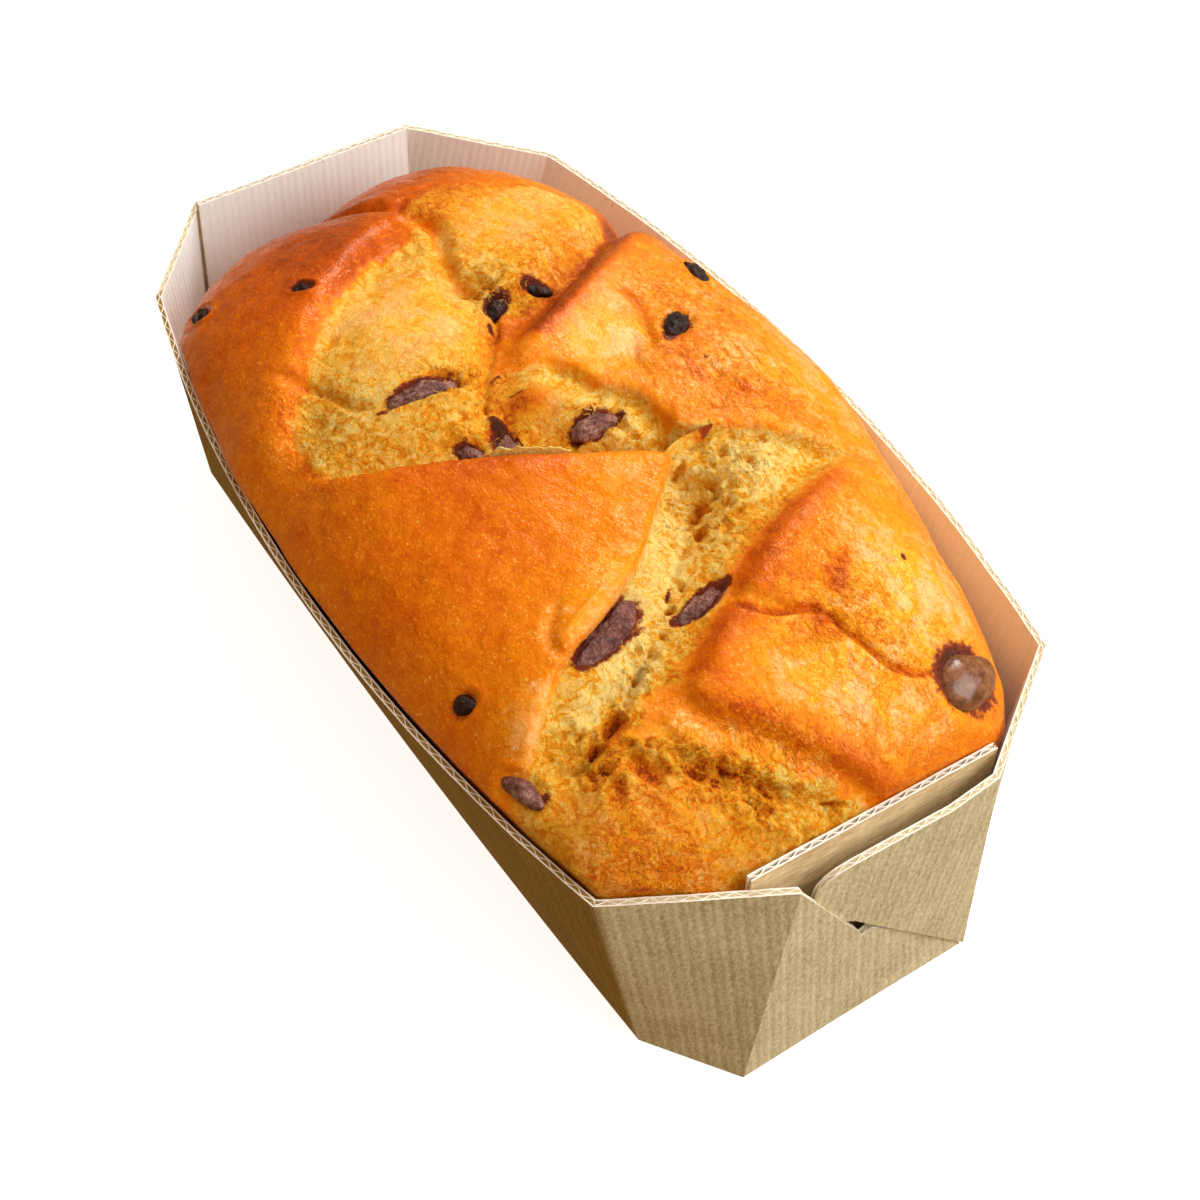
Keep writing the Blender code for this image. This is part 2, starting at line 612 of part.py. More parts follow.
def base_panel(look):
    ring = wall_ring("base") * BASE_SPREAD
    points = [(x, y, z) for z in (0.0, BOARD) for x, y in ring]
    count = len(ring)
    faces = [tuple(range(count)), tuple(range(2 * count - 1, count - 1, -1))]
    faces += [(i, i + count, (i + 1) % count + count, (i + 1) % count) for i in range(count)]
    return solid("paper_case", points, faces, look)


def slit_cutter(x, look):
    """The small diamond opening where the end flaps lock."""
    wide, high, deep = 1.7, 1.2, 3.5
    ring = ((-wide, 0.2), (0, -high), (wide, -0.2), (0, high))
    points = [(x + dx, -4.5 + y, SLIT_HEIGHT + z) for dx in (-deep, deep) for y, z in ring]
    faces = [(3, 2, 1, 0), (4, 5, 6, 7)] + [(i, (i + 1) % 4, (i + 1) % 4 + 4, i + 4)
                                            for i in range(4)]
    return solid("slit", points, faces, look)


def build_case(look):
    case = base_panel(look)
    left = (falling_flap(93.4, 92.2)
            + [corner(NEAR_LEFT_END)]
            + side_stations(NEAR_LEFT_SIDE, FAR_LEFT_SIDE, -RIM_BOW["left"])
            + [corner(FAR_LEFT_END)]
            + falling_flap(-95.5, -94.3)[::-1])
    right = (rising_flap(93.9, 93.4, 92.4, NEAR_RIGHT_END["top"])
             + [corner(NEAR_RIGHT_END)]
             + side_stations(NEAR_RIGHT_SIDE, FAR_RIGHT_SIDE, RIM_BOW["right"])
             + [corner(FAR_RIGHT_END)]
             + rising_flap(-95.5, -95.3, -94.4, FAR_RIGHT_END["top"])[::-1])
    parts = [folded_strip("left_walls", left, look, -1),
             folded_strip("right_walls", right, look, 1),
             end_panel("near_panel", NEAR_PANEL, 1, look),
             end_panel("far_panel", FAR_PANEL, -1, look)]
    for part in parts:
        boolean_with(case, [part], "UNION", "panel")
    boolean_with(case, [slit_cutter(92.8, look)], "DIFFERENCE", "slit")
    return case


def main():
    clear_scene()
    crust = material("baked_bread", (0.72, 0.30, 0.06), 0.45)
    board = material("corrugated_board", (0.60, 0.48, 0.32), 0.85)
    chocolate = material("chocolate", (0.07, 0.025, 0.02), 0.35)
    build_case(board)
    loaf = build_loaf(crust)
    cut_pockets(loaf, crust)
    for chip in CHIPS:
        build_chip(chip, chocolate)


main()
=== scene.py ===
# %% [markdown]
# # A chocolate chip tin loaf in its paper case
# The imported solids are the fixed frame. Every finer piece below is built in their place, so
# a piece never has to be fitted by eye. All places are in millimetres in plan, with +X to the
# near end of the loaf, +Y to its right long side and +Z up, and `in_frame` turns them into
# metres of the frame.

# %% Load the frame
import bpy
import bmesh
import numpy as np
from mathutils import Matrix, noise


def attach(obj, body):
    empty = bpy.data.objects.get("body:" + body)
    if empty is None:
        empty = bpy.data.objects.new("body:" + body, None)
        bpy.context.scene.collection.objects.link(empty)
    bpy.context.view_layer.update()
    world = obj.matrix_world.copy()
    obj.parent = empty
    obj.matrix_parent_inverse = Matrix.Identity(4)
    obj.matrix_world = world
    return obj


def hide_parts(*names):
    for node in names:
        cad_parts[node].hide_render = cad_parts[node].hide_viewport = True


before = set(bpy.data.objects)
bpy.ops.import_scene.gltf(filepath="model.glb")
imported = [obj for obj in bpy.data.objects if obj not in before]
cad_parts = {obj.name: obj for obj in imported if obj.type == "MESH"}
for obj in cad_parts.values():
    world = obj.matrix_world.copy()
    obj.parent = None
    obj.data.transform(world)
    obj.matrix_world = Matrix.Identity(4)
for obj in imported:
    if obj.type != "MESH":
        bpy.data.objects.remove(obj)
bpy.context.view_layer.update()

MM = 0.001
MIDDLE = (-1.11, -0.65)     # plan middle of the case in these millimetres
scene = bpy.context.scene


def in_frame(points):
    """Millimetre points in the metres of the frame."""
    return (np.asarray(points, float) - (*MIDDLE, 0.0)) * MM


# %% [markdown]
# ## The camera
# The photograph looks down on the near left corner from about half a metre, with the loaf
# turned across the picture. A camera is a place and three directions: its right, its up and
# its back. These were worked out from the corners of the case, and they go into the matrix as
# columns, which is safer than three angles.

# %% Camera
CAMERA_PLACE = (214.6437, -161.5016, 338.4985)
CAMERA_RIGHT = (0.56461658, 0.82318734, 0.05975553)
CAMERA_UP = (-0.65601146, 0.40365857, 0.63773719)
CAMERA_BACK = (0.50085634, -0.39927731, 0.76793265)
LENS = 66.0
SENSOR = 36.0

camera = bpy.data.objects.new("camera", bpy.data.cameras.new("camera"))
camera.data.lens = LENS
camera.data.sensor_width = SENSOR
camera.data.clip_start = 0.01
columns = [(*CAMERA_RIGHT, 0), (*CAMERA_UP, 0), (*CAMERA_BACK, 0), (*in_frame(CAMERA_PLACE), 1)]
camera.matrix_world = Matrix(columns).transposed()
scene.collection.objects.link(camera)
scene.camera = camera
print("camera is", round(camera.location.length, 3), "m from the loaf")

# %% [markdown]
# ## Light and floor
# The loaf stands in soft daylight. A big window at its near right end throws most of the light,
# so the left wall of the case falls into shade. A second, paler light hangs behind and above
# the loaf, where the camera sees it mirrored in the glazed crust, and gives the soft peach
# highlights. The sky is a dim world colour that grows brighter towards the window. The floor
# glows a little of its own, like a light table, which keeps the shadow as faint as it is in
# the photograph, and it gives no light back to the loaf.

# %% Lamps, sky and floor
WINDOW_FROM = (0.62, 0.46, 0.64)
WINDOW_AWAY = 0.95
WINDOW_SIZE = 0.65
WINDOW_WATTS = 6.0
BACK_LIGHT_FROM = (-0.42, 0.54, 0.72)
BACK_LIGHT_AWAY = 0.9
BACK_LIGHT_SIZE = 0.32
BACK_LIGHT_WATTS = 4.2
SKY_TOWARDS = (0.30, 0.35, 0.88)
SKY_DARK = (0.42, 0.29, 0.15, 1)
SKY_BRIGHT = (1.0, 0.98, 0.93, 1)
SKY_STRENGTH = 0.98
FLOOR_SIZE = 40.0
FLOOR_DROP = 0.0003
FLOOR_GLOW = 0.76

scene.view_settings.view_transform = "Standard"


def aim(lamp, direction, away):
    """Put a lamp in a direction from the loaf, facing it."""
    place = np.array(direction) / np.linalg.norm(direction) * away
    lamp.location = place
    facing = (-lamp.location).to_track_quat("-Z", "Y")
    lamp.rotation_mode = "QUATERNION"
    lamp.rotation_quaternion = facing


def soft_lamp(name, size, watts, direction, away):
    """A square area lamp that faces the loaf."""
    lamp = bpy.data.lights.new(name, "AREA")
    lamp.shape = "SQUARE"
    lamp.size = size
    lamp.energy = watts
    made = bpy.data.objects.new(name, lamp)
    scene.collection.objects.link(made)
    aim(made, direction, away)


soft_lamp("window", WINDOW_SIZE, WINDOW_WATTS, WINDOW_FROM, WINDOW_AWAY)
soft_lamp("back_light", BACK_LIGHT_SIZE, BACK_LIGHT_WATTS, BACK_LIGHT_FROM, BACK_LIGHT_AWAY)

world = bpy.data.worlds.new("sky")
scene.world = world
world.use_nodes = True
sky = world.node_tree
sky.nodes.clear()
direction = sky.nodes.new("ShaderNodeTexCoord")
towards = sky.nodes.new("ShaderNodeVectorMath")
towards.operation = "DOT_PRODUCT"
towards.inputs[1].default_value = SKY_TOWARDS
sky.links.new(direction.outputs["Generated"], towards.inputs[0])
fade = sky.nodes.new("ShaderNodeValToRGB")
fade.color_ramp.elements[0].color = SKY_DARK
fade.color_ramp.elements[0].position = 0.25
fade.color_ramp.elements[1].color = SKY_BRIGHT
fade.color_ramp.elements[1].position = 0.95
sky.links.new(towards.outputs["Value"], fade.inputs["Fac"])
glow = sky.nodes.new("ShaderNodeBackground")
glow.inputs["Strength"].default_value = SKY_STRENGTH
sky.links.new(fade.outputs["Color"], glow.inputs["Color"])
sky_out = sky.nodes.new("ShaderNodeOutputWorld")
sky.links.new(glow.outputs["Background"], sky_out.inputs["Surface"])

floor_mesh = bpy.data.meshes.new("floor")
half = FLOOR_SIZE / 2
floor_mesh.from_pydata([(-half, -half, -FLOOR_DROP), (half, -half, -FLOOR_DROP),
                        (half, half, -FLOOR_DROP), (-half, half, -FLOOR_DROP)],
                       [], [(0, 1, 2, 3)])
floor = bpy.data.objects.new("floor", floor_mesh)
scene.collection.objects.link(floor)
floor.visible_diffuse = False
floor.visible_glossy = False
floor_look = bpy.data.materials.new("pale_floor")
floor_look.use_nodes = True
floor_shader = floor_look.node_tree.nodes["Principled BSDF"]
floor_shader.inputs["Base Color"].default_value = (0.82, 0.89, 0.97, 1)
floor_shader.inputs["Roughness"].default_value = 0.9
floor_shader.inputs["Specular IOR Level"].default_value = 0.0
floor_shader.inputs["Emission Color"].default_value = (1, 1, 1, 1)
floor_shader.inputs["Emission Strength"].default_value = FLOOR_GLOW
floor_mesh.materials.append(floor_look)
print("window lamp of", WINDOW_WATTS, "W,", WINDOW_SIZE, "m across")

# %% [markdown]
# ## Small helpers for shader nodes
# A material is a little network. These helpers keep the later cells short: they make a node, a
# noise at a size given in millimetres, a sum, a mapped range, a colour ramp, a mix or a bump.

# %% Shader helpers


def new_material(name):
    """An empty material with its Principled shader, ready to be wired."""
    made = bpy.data.materials.new(name)
    made.use_nodes = True
    return made, made.node_tree, made.node_tree.nodes["Principled BSDF"]


def node(tree, kind, **settings):
    made = tree.nodes.new(kind)
    for name, value in settings.items():
        setattr(made, name, value)
    return made


def noise_of(tree, size_mm, detail=2.0, rough=0.5, stretch=(1, 1, 1), warp=0.0):
    """A noise whose lumps are about this many millimetres across."""
    where = node(tree, "ShaderNodeTexCoord")
    mapping = node(tree, "ShaderNodeMapping")
    mapping.inputs["Scale"].default_value = stretch
    tree.links.new(where.outputs["Object"], mapping.inputs["Vector"])
    made = node(tree, "ShaderNodeTexNoise")
    made.inputs["Scale"].default_value = 1 / (size_mm * MM)
    made.inputs["Detail"].default_value = detail
    made.inputs["Roughness"].default_value = rough
    made.inputs["Distortion"].default_value = warp
    tree.links.new(mapping.outputs["Vector"], made.inputs["Vector"])
    return made.outputs["Fac"]


def attribute(tree, name):
    return node(tree, "ShaderNodeAttribute", attribute_name=name).outputs["Fac"]


def math(tree, operation, a, b=0.0, c=0.0, clamp=False):
    made = node(tree, "ShaderNodeMath", operation=operation, use_clamp=clamp)
    for socket, value in zip(made.inputs, (a, b, c)):
        if isinstance(value, (int, float)):
            socket.default_value = value
        else:
            tree.links.new(value, socket)
    return made.outputs["Value"]


def between(tree, value, low, high, to_low=0.0, to_high=1.0):
    """Map a value from one range to another, smoothly and clamped."""
    made = node(tree, "ShaderNodeMapRange", interpolation_type="SMOOTHSTEP")
    for socket, number in (("From Min", low), ("From Max", high),
                           ("To Min", to_low), ("To Max", to_high)):
        made.inputs[socket].default_value = number
    tree.links.new(value, made.inputs["Value"])
    return made.outputs["Result"]


def ramp(tree, value, stops):
    made = node(tree, "ShaderNodeValToRGB")
    places = made.color_ramp.elements
    while len(places) < len(stops):
        places.new(0.5)
    for place, (position, colour) in zip(places, stops):
        place.position = position
        place.color = (*colour, 1)
    tree.links.new(value, made.inputs["Fac"])
    return made.outputs["Color"]


def mix(tree, share, a, b, blend="MIX"):
    """Blend two colours, each a socket or a constant."""
    made = node(tree, "ShaderNodeMix", data_type="RGBA", blend_type=blend)
    for socket, value in ((made.inputs[0], share), (made.inputs[6], a), (made.inputs[7], b)):
        if isinstance(value, (int, float)):
            socket.default_value = value
        elif isinstance(value, tuple):
            socket.default_value = (*value, 1)
        else:
            tree.links.new(value, socket)
    return made.outputs[2]


def bumps(tree, shader, heights):
    """Chain bump nodes from (height socket, depth in millimetres) pairs into a shader."""
    below = None
    for height, depth in heights:
        made = node(tree, "ShaderNodeBump")
        made.inputs["Distance"].default_value = MM
        tree.links.new(math(tree, "MULTIPLY", height, depth), made.inputs["Height"])
        if below is not None:
            tree.links.new(below, made.inputs["Normal"])
        below = made.outputs["Normal"]
    tree.links.new(below, shader.inputs["Normal"])


# %% [markdown]
# ## The form of the bread
# Bread is one closed surface with no straight line in it. It could be sculpted by hand, but a
# lesson has to be repeatable, so the form is written down instead: a plain dome over an uneven
# outline, then crust edges, clefts and swellings laid on it as named curves in plan. A point
# is moved along the dome's own outward direction, so relief also works on the steep sides.

# %% Curves in plan


def smooth_path(points, spacing=2.0, closed=False):
    """A Catmull-Rom curve through the points."""
    p = np.array(points, float)
    if closed:
        p = np.vstack([p[-1], p, p[0], p[1]])
    else:
        p = np.vstack([2 * p[0] - p[1], p, 2 * p[-1] - p[-2]])
    pieces = []
    for a, b, c, d in zip(p, p[1:], p[2:], p[3:]):
        count = max(2, int(np.hypot(*(c - b)) / spacing))
        t = np.arange(count)[:, None] / count
        pieces.append(0.5 * (2 * b + (c - a) * t + (2 * a - 5 * b + 4 * c - d) * t ** 2
                             + (3 * b - a - 3 * c + d) * t ** 3))
    if not closed:
        pieces.append(p[-2:-1])
    return np.vstack(pieces)


def from_path(x, y, points):
    """Distance to a path, signed side (+1 left), length along it in mm, total length, and
    the direction to its left."""
    path = smooth_path(points)
    nearest = np.full(x.shape, 1e9)
    side = np.ones(x.shape)
    along = np.zeros(x.shape)
    left_x = np.zeros(x.shape)
    left_y = np.zeros(x.shape)
    travelled = 0.0
    for start, end in zip(path, path[1:]):
        dx, dy = end - start
        length = np.hypot(dx, dy)
        t = np.clip(((x - start[0]) * dx + (y - start[1]) * dy) / length ** 2, 0, 1)
        away_x = x - start[0] - t * dx
        away_y = y - start[1] - t * dy
        distance = np.hypot(away_x, away_y)
        closer = distance < nearest
        nearest = np.where(closer, distance, nearest)
        side = np.where(closer, np.where(dx * away_y - dy * away_x >= 0, 1.0, -1.0), side)
        along = np.where(closer, travelled + t * length, along)
        left_x = np.where(closer, -dy / length, left_x)
        left_y = np.where(closer, dx / length, left_y)
        travelled += length
    return nearest, side, along, travelled, left_x, left_y


def smooth_step(value):
    value = np.clip(value, 0, 1)
    return value * value * (3 - 2 * value)


def fading(along, total, ends):
    """1 along a path, easing to 0 over the given millimetres at its start and end."""
    start, end = ends
    return smooth_step(along / start) * smooth_step((total - along) / end)


def oval(x, y, at, size, turn=0.0):
    """Distance from the middle of an oval, 1 on its outline."""
    turn = np.radians(turn)
    dx, dy = x - at[0], y - at[1]
    along = (dx * np.cos(turn) + dy * np.sin(turn)) / size[0]
    across = (dy * np.cos(turn) - dx * np.sin(turn)) / size[1]
    return np.hypot(along, across)


def inside(x, y, outline):
    """Signed distance to a closed outline, positive inside."""
    ring = np.array(outline, float)
    within = np.zeros(x.shape, bool)
    nearest = np.full(x.shape, 1e9)
    for a, b in zip(ring, np.roll(ring, -1, 0)):
        crosses = (a[1] > y) != (b[1] > y)
        rise = b[1] - a[1] if b[1] != a[1] else 1e-9
        within ^= crosses & (x < a[0] + (y - a[1]) * (b[0] - a[0]) / rise)
        step = b - a
        t = np.clip(((x - a[0]) * step[0] + (y - a[1]) * step[1]) / (step ** 2).sum(), 0, 1)
        nearest = np.minimum(nearest, np.hypot(x - a[0] - t * step[0], y - a[1] - t * step[1]))
    return np.where(within, nearest, -nearest)


def lumps(points, size, seed=0.0):
    """Smooth noise from -1 to 1 at each 3-D point, with lumps of this size in millimetres."""
    flat = np.asarray(points).reshape(-1, 3) / size + seed
    values = [noise.noise(p) for p in flat.tolist()]
    return np.reshape(values, np.asarray(points).shape[:-1])


# %% [markdown]
# The case has to be known before the bread, because the bread swelled against it in the oven.
# Its corners are listed once, at the base and at the rim, and both the bread's limits and the
# board itself are made from them.

# %% The case's corners, and the room inside it
BOARD = 1.3
CASE_HEIGHT = 53.5
PANEL_HEIGHT = 56.0
RIM_BOW = {"left": 10.0, "right": 8.8}
BASE_BOW = 1.5
NEAR_LEFT_END = {"rim": (93.5, -20.5), "base": (94.0, -24.5), "top": 54.5}
NEAR_LEFT_SIDE = {"rim": (77.5, -48.0), "base": (78.5, -35.5), "top": 52.7}
FAR_LEFT_SIDE = {"rim": (-75.5, -43.0), "base": (-77.0, -35.0), "top": 54.0}
FAR_LEFT_END = {"rim": (-96.5, -23.5), "base": (-95.5, -24.5), "top": 54.0}
FAR_RIGHT_END = {"rim": (-95.5, 23.5), "base": (-95.0, 24.5), "top": 54.5}
FAR_RIGHT_SIDE = {"rim": (-74.5, 45.5), "base": (-77.0, 35.5), "top": 52.7}
NEAR_RIGHT_SIDE = {"rim": (76.5, 45.5), "base": (78.5, 36.0), "top": 53.5}
NEAR_RIGHT_END = {"rim": (93.0, 20.5), "base": (94.0, 25.0), "top": 53.5}
NEAR_PANEL = {"x": (90.3, 88.3), "base": (-24.4, 24.4), "top": (-26.3, 24.2),
              "height": (56.0, 53.6)}
FAR_PANEL = {"x": (-92.4, -93.5), "base": (-24.0, 24.0), "top": (-24.7, 22.0),
             "height": (56.0, 56.0)}


def long_wall(start, end, bow, count, key):
    """Plan points of a bowed long wall, with the end points."""
    t = np.linspace(0, 1, count + 1)[:, None]
    line = (1 - t) * np.array(start[key], float) + t * np.array(end[key], float)
    line[:, 1] += bow * (1 - (2 * t[:, 0] - 1) ** 2)
    return line


def wall_ring(key):
    """The case's corners and bowed sides in plan, near left round to near right."""
    left_bow, right_bow = RIM_BOW["left"], RIM_BOW["right"]
    if key == "base":
        left_bow = right_bow = BASE_BOW
    left = long_wall(NEAR_LEFT_SIDE, FAR_LEFT_SIDE, -left_bow, 10, key)
    right = long_wall(FAR_RIGHT_SIDE, NEAR_RIGHT_SIDE, right_bow, 10, key)
    return np.vstack([NEAR_LEFT_END[key], left, FAR_LEFT_END[key],
                      FAR_RIGHT_END[key], right, NEAR_RIGHT_END[key]])


WALL_GAP = 0.35
WALL_EASE = 0.6
OVER_THE_RIM = 54.8
OVERHANG = 1.5


def room_radius(angle, z):
    """How far out of the middle the bread may reach at a height, inside the case."""
    base, rim = wall_ring("base"), wall_ring("rim")
    share = np.clip(z / CASE_HEIGHT, 0, 1.02)
    ux, uy = np.cos(angle), np.sin(angle)
    inset = BOARD + WALL_GAP + WALL_EASE * 4 * share * (1 - np.minimum(share, 1))
    reach = np.full(np.shape(angle), 1e9)
    for i in range(len(rim) - 1):
        ax = base[i, 0] + share * (rim[i, 0] - base[i, 0])
        ay = base[i, 1] + share * (rim[i, 1] - base[i, 1])
        bx = base[i + 1, 0] + share * (rim[i + 1, 0] - base[i + 1, 0])
        by = base[i + 1, 1] + share * (rim[i + 1, 1] - base[i + 1, 1])
        length = np.hypot(bx - ax, by - ay)
        nx, ny = -(by - ay) / length, (bx - ax) / length
        facing = ux * nx + uy * ny
        room = (ax * nx + ay * ny - inset) / np.where(facing > 1e-6, facing, 1.0)
        reach = np.where(facing > 1e-6, np.minimum(reach, room), reach)
    reach = reach + OVERHANG * np.maximum(z - OVER_THE_RIM, 0)
    for panel, sign in ((NEAR_PANEL, 1), (FAR_PANEL, -1)):
        bottom, top = (sign * x - BOARD - WALL_GAP for x in panel["x"])
        limit = bottom + (top - bottom) * z / PANEL_HEIGHT
        limit = limit + OVERHANG * np.maximum(z - PANEL_HEIGHT - 0.4, 0)
        toward = sign * ux
        room = limit / np.where(toward > 1e-6, toward, 1.0)
        reach = np.where(toward > 1e-6, np.minimum(reach, room), reach)
    return reach


def keep_inside(points):
    """Draw points that would touch the case in to its inside."""
    angle = np.arctan2(points[..., 1], points[..., 0])
    radius = np.hypot(points[..., 0], points[..., 1])
    held = np.minimum(radius, room_radius(angle, points[..., 2]))
    return np.stack([held * np.cos(angle), held * np.sin(angle), points[..., 2]], -1)


print("case rim:", wall_ring("rim").shape[0], "corner points")

# %% [markdown]
# The dome comes from an outline in plan and a rounded profile. The grid is a square sheet
# pulled out to the outline, which gives even quads everywhere and no pinched pole on top.

# %% The plain dome
EDGE_HEIGHT = 42.0
TOP_HEIGHT = 72.2
DOME_FLATNESS = 3.0
DOME_SHOULDER = 2.6
OUTLINE = ((90, 0), (90, 14), (88, 25), (80.5, 34), (66.3, 40.2), (48.9, 45), (20.6, 52),
           (0, 53.3), (-29.8, 49.1), (-53.8, 42.1), (-70.7, 34), (-81, 20), (-82.5, 4),
           (-78.5, -10), (-78.5, -23), (-74.5, -33), (-69, -41), (-61, -47), (-40, -52.5),
           (-10, -56), (10, -56.5), (40, -55), (62, -52), (80, -46), (89, -17))
GRID_CORNER = (76, 40)
EDGE_CROWDING = 1.25


def outline_radius(angle):
    ring = smooth_path(OUTLINE, closed=True)
    angles = np.arctan2(ring[:, 1], ring[:, 0])
    order = np.argsort(angles)
    return np.interp(angle, angles[order], np.hypot(ring[:, 0], ring[:, 1])[order],
                     period=2 * np.pi)


def dome_height(share):
    """Height at a share of the way from the middle to the outline."""
    rise = np.clip(1 - share ** DOME_FLATNESS, 0, 1) ** (1 / DOME_SHOULDER)
    return EDGE_HEIGHT + (TOP_HEIGHT - EDGE_HEIGHT) * rise


def dome_grid(count_long, count_wide):
    """Points and outward directions of the plain dome on a grid that fills the outline."""
    u = np.linspace(-1, 1, count_long + 1)
    v = np.linspace(-1, 1, count_wide + 1)
    u, v = np.meshgrid(u, v, indexing="ij")
    ring = np.maximum(np.abs(u), np.abs(v))
    angle = np.arctan2(GRID_CORNER[1] * v, GRID_CORNER[0] * u)
    share = 1 - (1 - ring) ** EDGE_CROWDING
    radius = share * outline_radius(angle)
    plain = np.stack([radius * np.cos(angle), radius * np.sin(angle), dome_height(share)], -1)
    outward = np.cross(np.gradient(plain, axis=0), np.gradient(plain, axis=1))
    outward /= np.linalg.norm(outward, axis=-1, keepdims=True)
    return plain, outward


# %% [markdown]
# The dough was cut and rolled before baking, so its crust is a set of lobes with rounded,
# slightly overhanging edges. Each edge is a curve: the crust rises on its left side, drops on
# its right side, and `tuck` pulls the low side in under the lip, which throws the thin dark
# line seen under the big lobe.

# %% Crust edges
CRUST_EDGES = (
    {"name": "far edge of the big left lobe", "lift": 1.6, "lift_width": 9, "drop": 4.0,
     "drop_width": 8, "edge": 0.75, "tuck": 1.5, "ends": (1.2, 16),
     "path": ((21.8, 5.2), (18.4, 0.6), (14.1, -6.4), (8.6, -16.2), (3.0, -26.0),
              (-3.2, -36.8), (-8, -42.5), (-14, -48))},
    {"name": "near edge of the big left lobe", "lift": 1.2, "lift_width": 9, "drop": 2.6,
     "drop_width": 7, "edge": 0.8, "tuck": 1.1, "ends": (16, 1.2),
     "path": ((60, -51), (52, -41.5), (47, -35), (44.6, -30), (42.7, -24), (40.4, -19),
              (37.8, -14.3), (34.8, -10), (31, -5.8), (27.2, -1.6), (24.4, 1.8), (22.2, 4.6))},
    {"name": "inner edge of the far left lobe", "lift": 2.2, "lift_width": 11, "drop": 2.2,
     "drop_width": 8, "edge": 2.4, "tuck": 0.0, "ends": (12, 5),
     "path": ((-14, -50), (-20, -45), (-27, -40), (-35, -32), (-41, -25), (-46, -18),
              (-50.5, -10), (-52, -4), (-51, 2))},
    {"name": "rolled fold of the long right lobe", "lift": 2.0, "lift_width": 6, "drop": 2.4,
     "drop_width": 5, "edge": 2.6, "tuck": 0.0, "ends": (8, 8),
     "path": ((-45, 49), (-38, 38), (-33, 31), (-27.5, 23.5), (-23.5, 16), (-20, 8),
              (-17, 1), (-14, -5), (-11, -9))},
    {"name": "torn edge of the long right lobe", "lift": 0.9, "lift_width": 5, "drop": 2.0,
     "drop_width": 6, "edge": 1.0, "tuck": 0.7, "ends": (6, 10),
     "path": ((-10, -2), (-4, 2.5), (1, 4), (6, 8.5), (12, 9.5), (17, 10.2), (19.5, 14),
              (22, 20), (27, 27), (31, 34), (35, 42))},
    {"name": "left edge of the near right lobe", "lift": 1.8, "lift_width": 9, "drop": 1.8,
     "drop_width": 5, "edge": 1.9, "tuck": 0.0, "ends": (10, 4),
     "path": ((30, 44), (32, 36), (34.5, 29), (38, 21), (41, 13), (44.5, 6), (49, -0.5),
              (51.5, -3))},
    {"name": "lower edge of the near right lobe", "lift": 1.3, "lift_width": 10, "drop": 1.7,
     "drop_width": 6, "edge": 1.7, "tuck": 0.4, "ends": (4, 8),
     "path": ((50.5, 1), (51, -5), (54, -10.5), (57.5, -15.5), (60.5, -18.7), (65, -17.5),
              (70, -13), (76, -8), (82, -2.5), (90, 4))},
    {"name": "torn step at the near end", "lift": 0.3, "lift_width": 4, "drop": 0.9,
     "drop_width": 4, "edge": 1.1, "tuck": 0.3, "ends": (5, 6),
     "path": ((59, -24), (66, -25), (71, -22), (76, -17.5), (81, -12), (88, -4))},
)


def crust_edge(x, y, edge):
    """Height and plan shift that one crust edge adds."""
    distance, side, along, total, left_x, left_y = from_path(x, y, edge["path"])
    signed = distance * side
    raised = 0.5 + 0.5 * np.tanh(signed / edge["edge"])
    up = edge["lift"] * np.exp(-(distance / edge["lift_width"]) ** 2)
    down = edge["drop"] * np.exp(-(distance / edge["drop_width"]) ** 2)
    strength = fading(along, total, edge["ends"])
    height = strength * (raised * up - (1 - raised) * down)
    under = np.exp(-((signed + 1.1 * edge["edge"]) / (1.1 * edge["edge"])) ** 2)
    lip = np.exp(-((signed - 0.8 * edge["edge"]) / (1.0 * edge["edge"])) ** 2)
    shift = strength * edge["tuck"] * (0.7 * under - 0.5 * lip)
    return height, shift * left_x, shift * left_y


print(len(CRUST_EDGES), "crust edges")

# %% [markdown]
# Clefts are the deep places between lobes, and creases are the fine folds. Both are a rounded
# groove along a curve, but a cleft is held back at the big left lobe, which lay on top of it.
# Swellings are the broad puffs where gas lifted the dough, and pits are torn holes.

# %% Clefts, creases and swellings
CLEFTS = (
    {"depth": 2.7, "width": 5.5, "ends": (8, 8),     # main cleft
     "path": ((-40, -3), (-25, -1), (-18, -5), (-8, -11), (2, -13), (11, -6), (18, 2), (25, 6))},
    {"depth": 4.0, "width": 6.5, "ends": (9, 8),     # valley beside the big left lobe
     "path": ((22, 8), (31, 2), (41, -7), (49, -16), (56, -28), (61, -38), (61, -50))},
    {"depth": 2.6, "width": 2.0, "ends": (6, 6),     # crease round the far left lobe
     "path": ((-77, -14), (-61, -1), (-52, 2.6), (-46, 1.2), (-40, -1.7), (-35, -2),
              (-29, 1.5))},
    {"depth": 2.4, "width": 4.0, "ends": (8, 8),     # valley beside the rolled fold
     "path": ((-46, 47), (-37, 33), (-30, 20), (-25, 8), (-22, 0))},
    {"depth": 1.1, "width": 2.0, "ends": (5, 4),     # torn crevice at the near end
     "path": ((60, -44), (61, -36), (67, -30), (73, -24), (80, -15), (87, -5))},
)
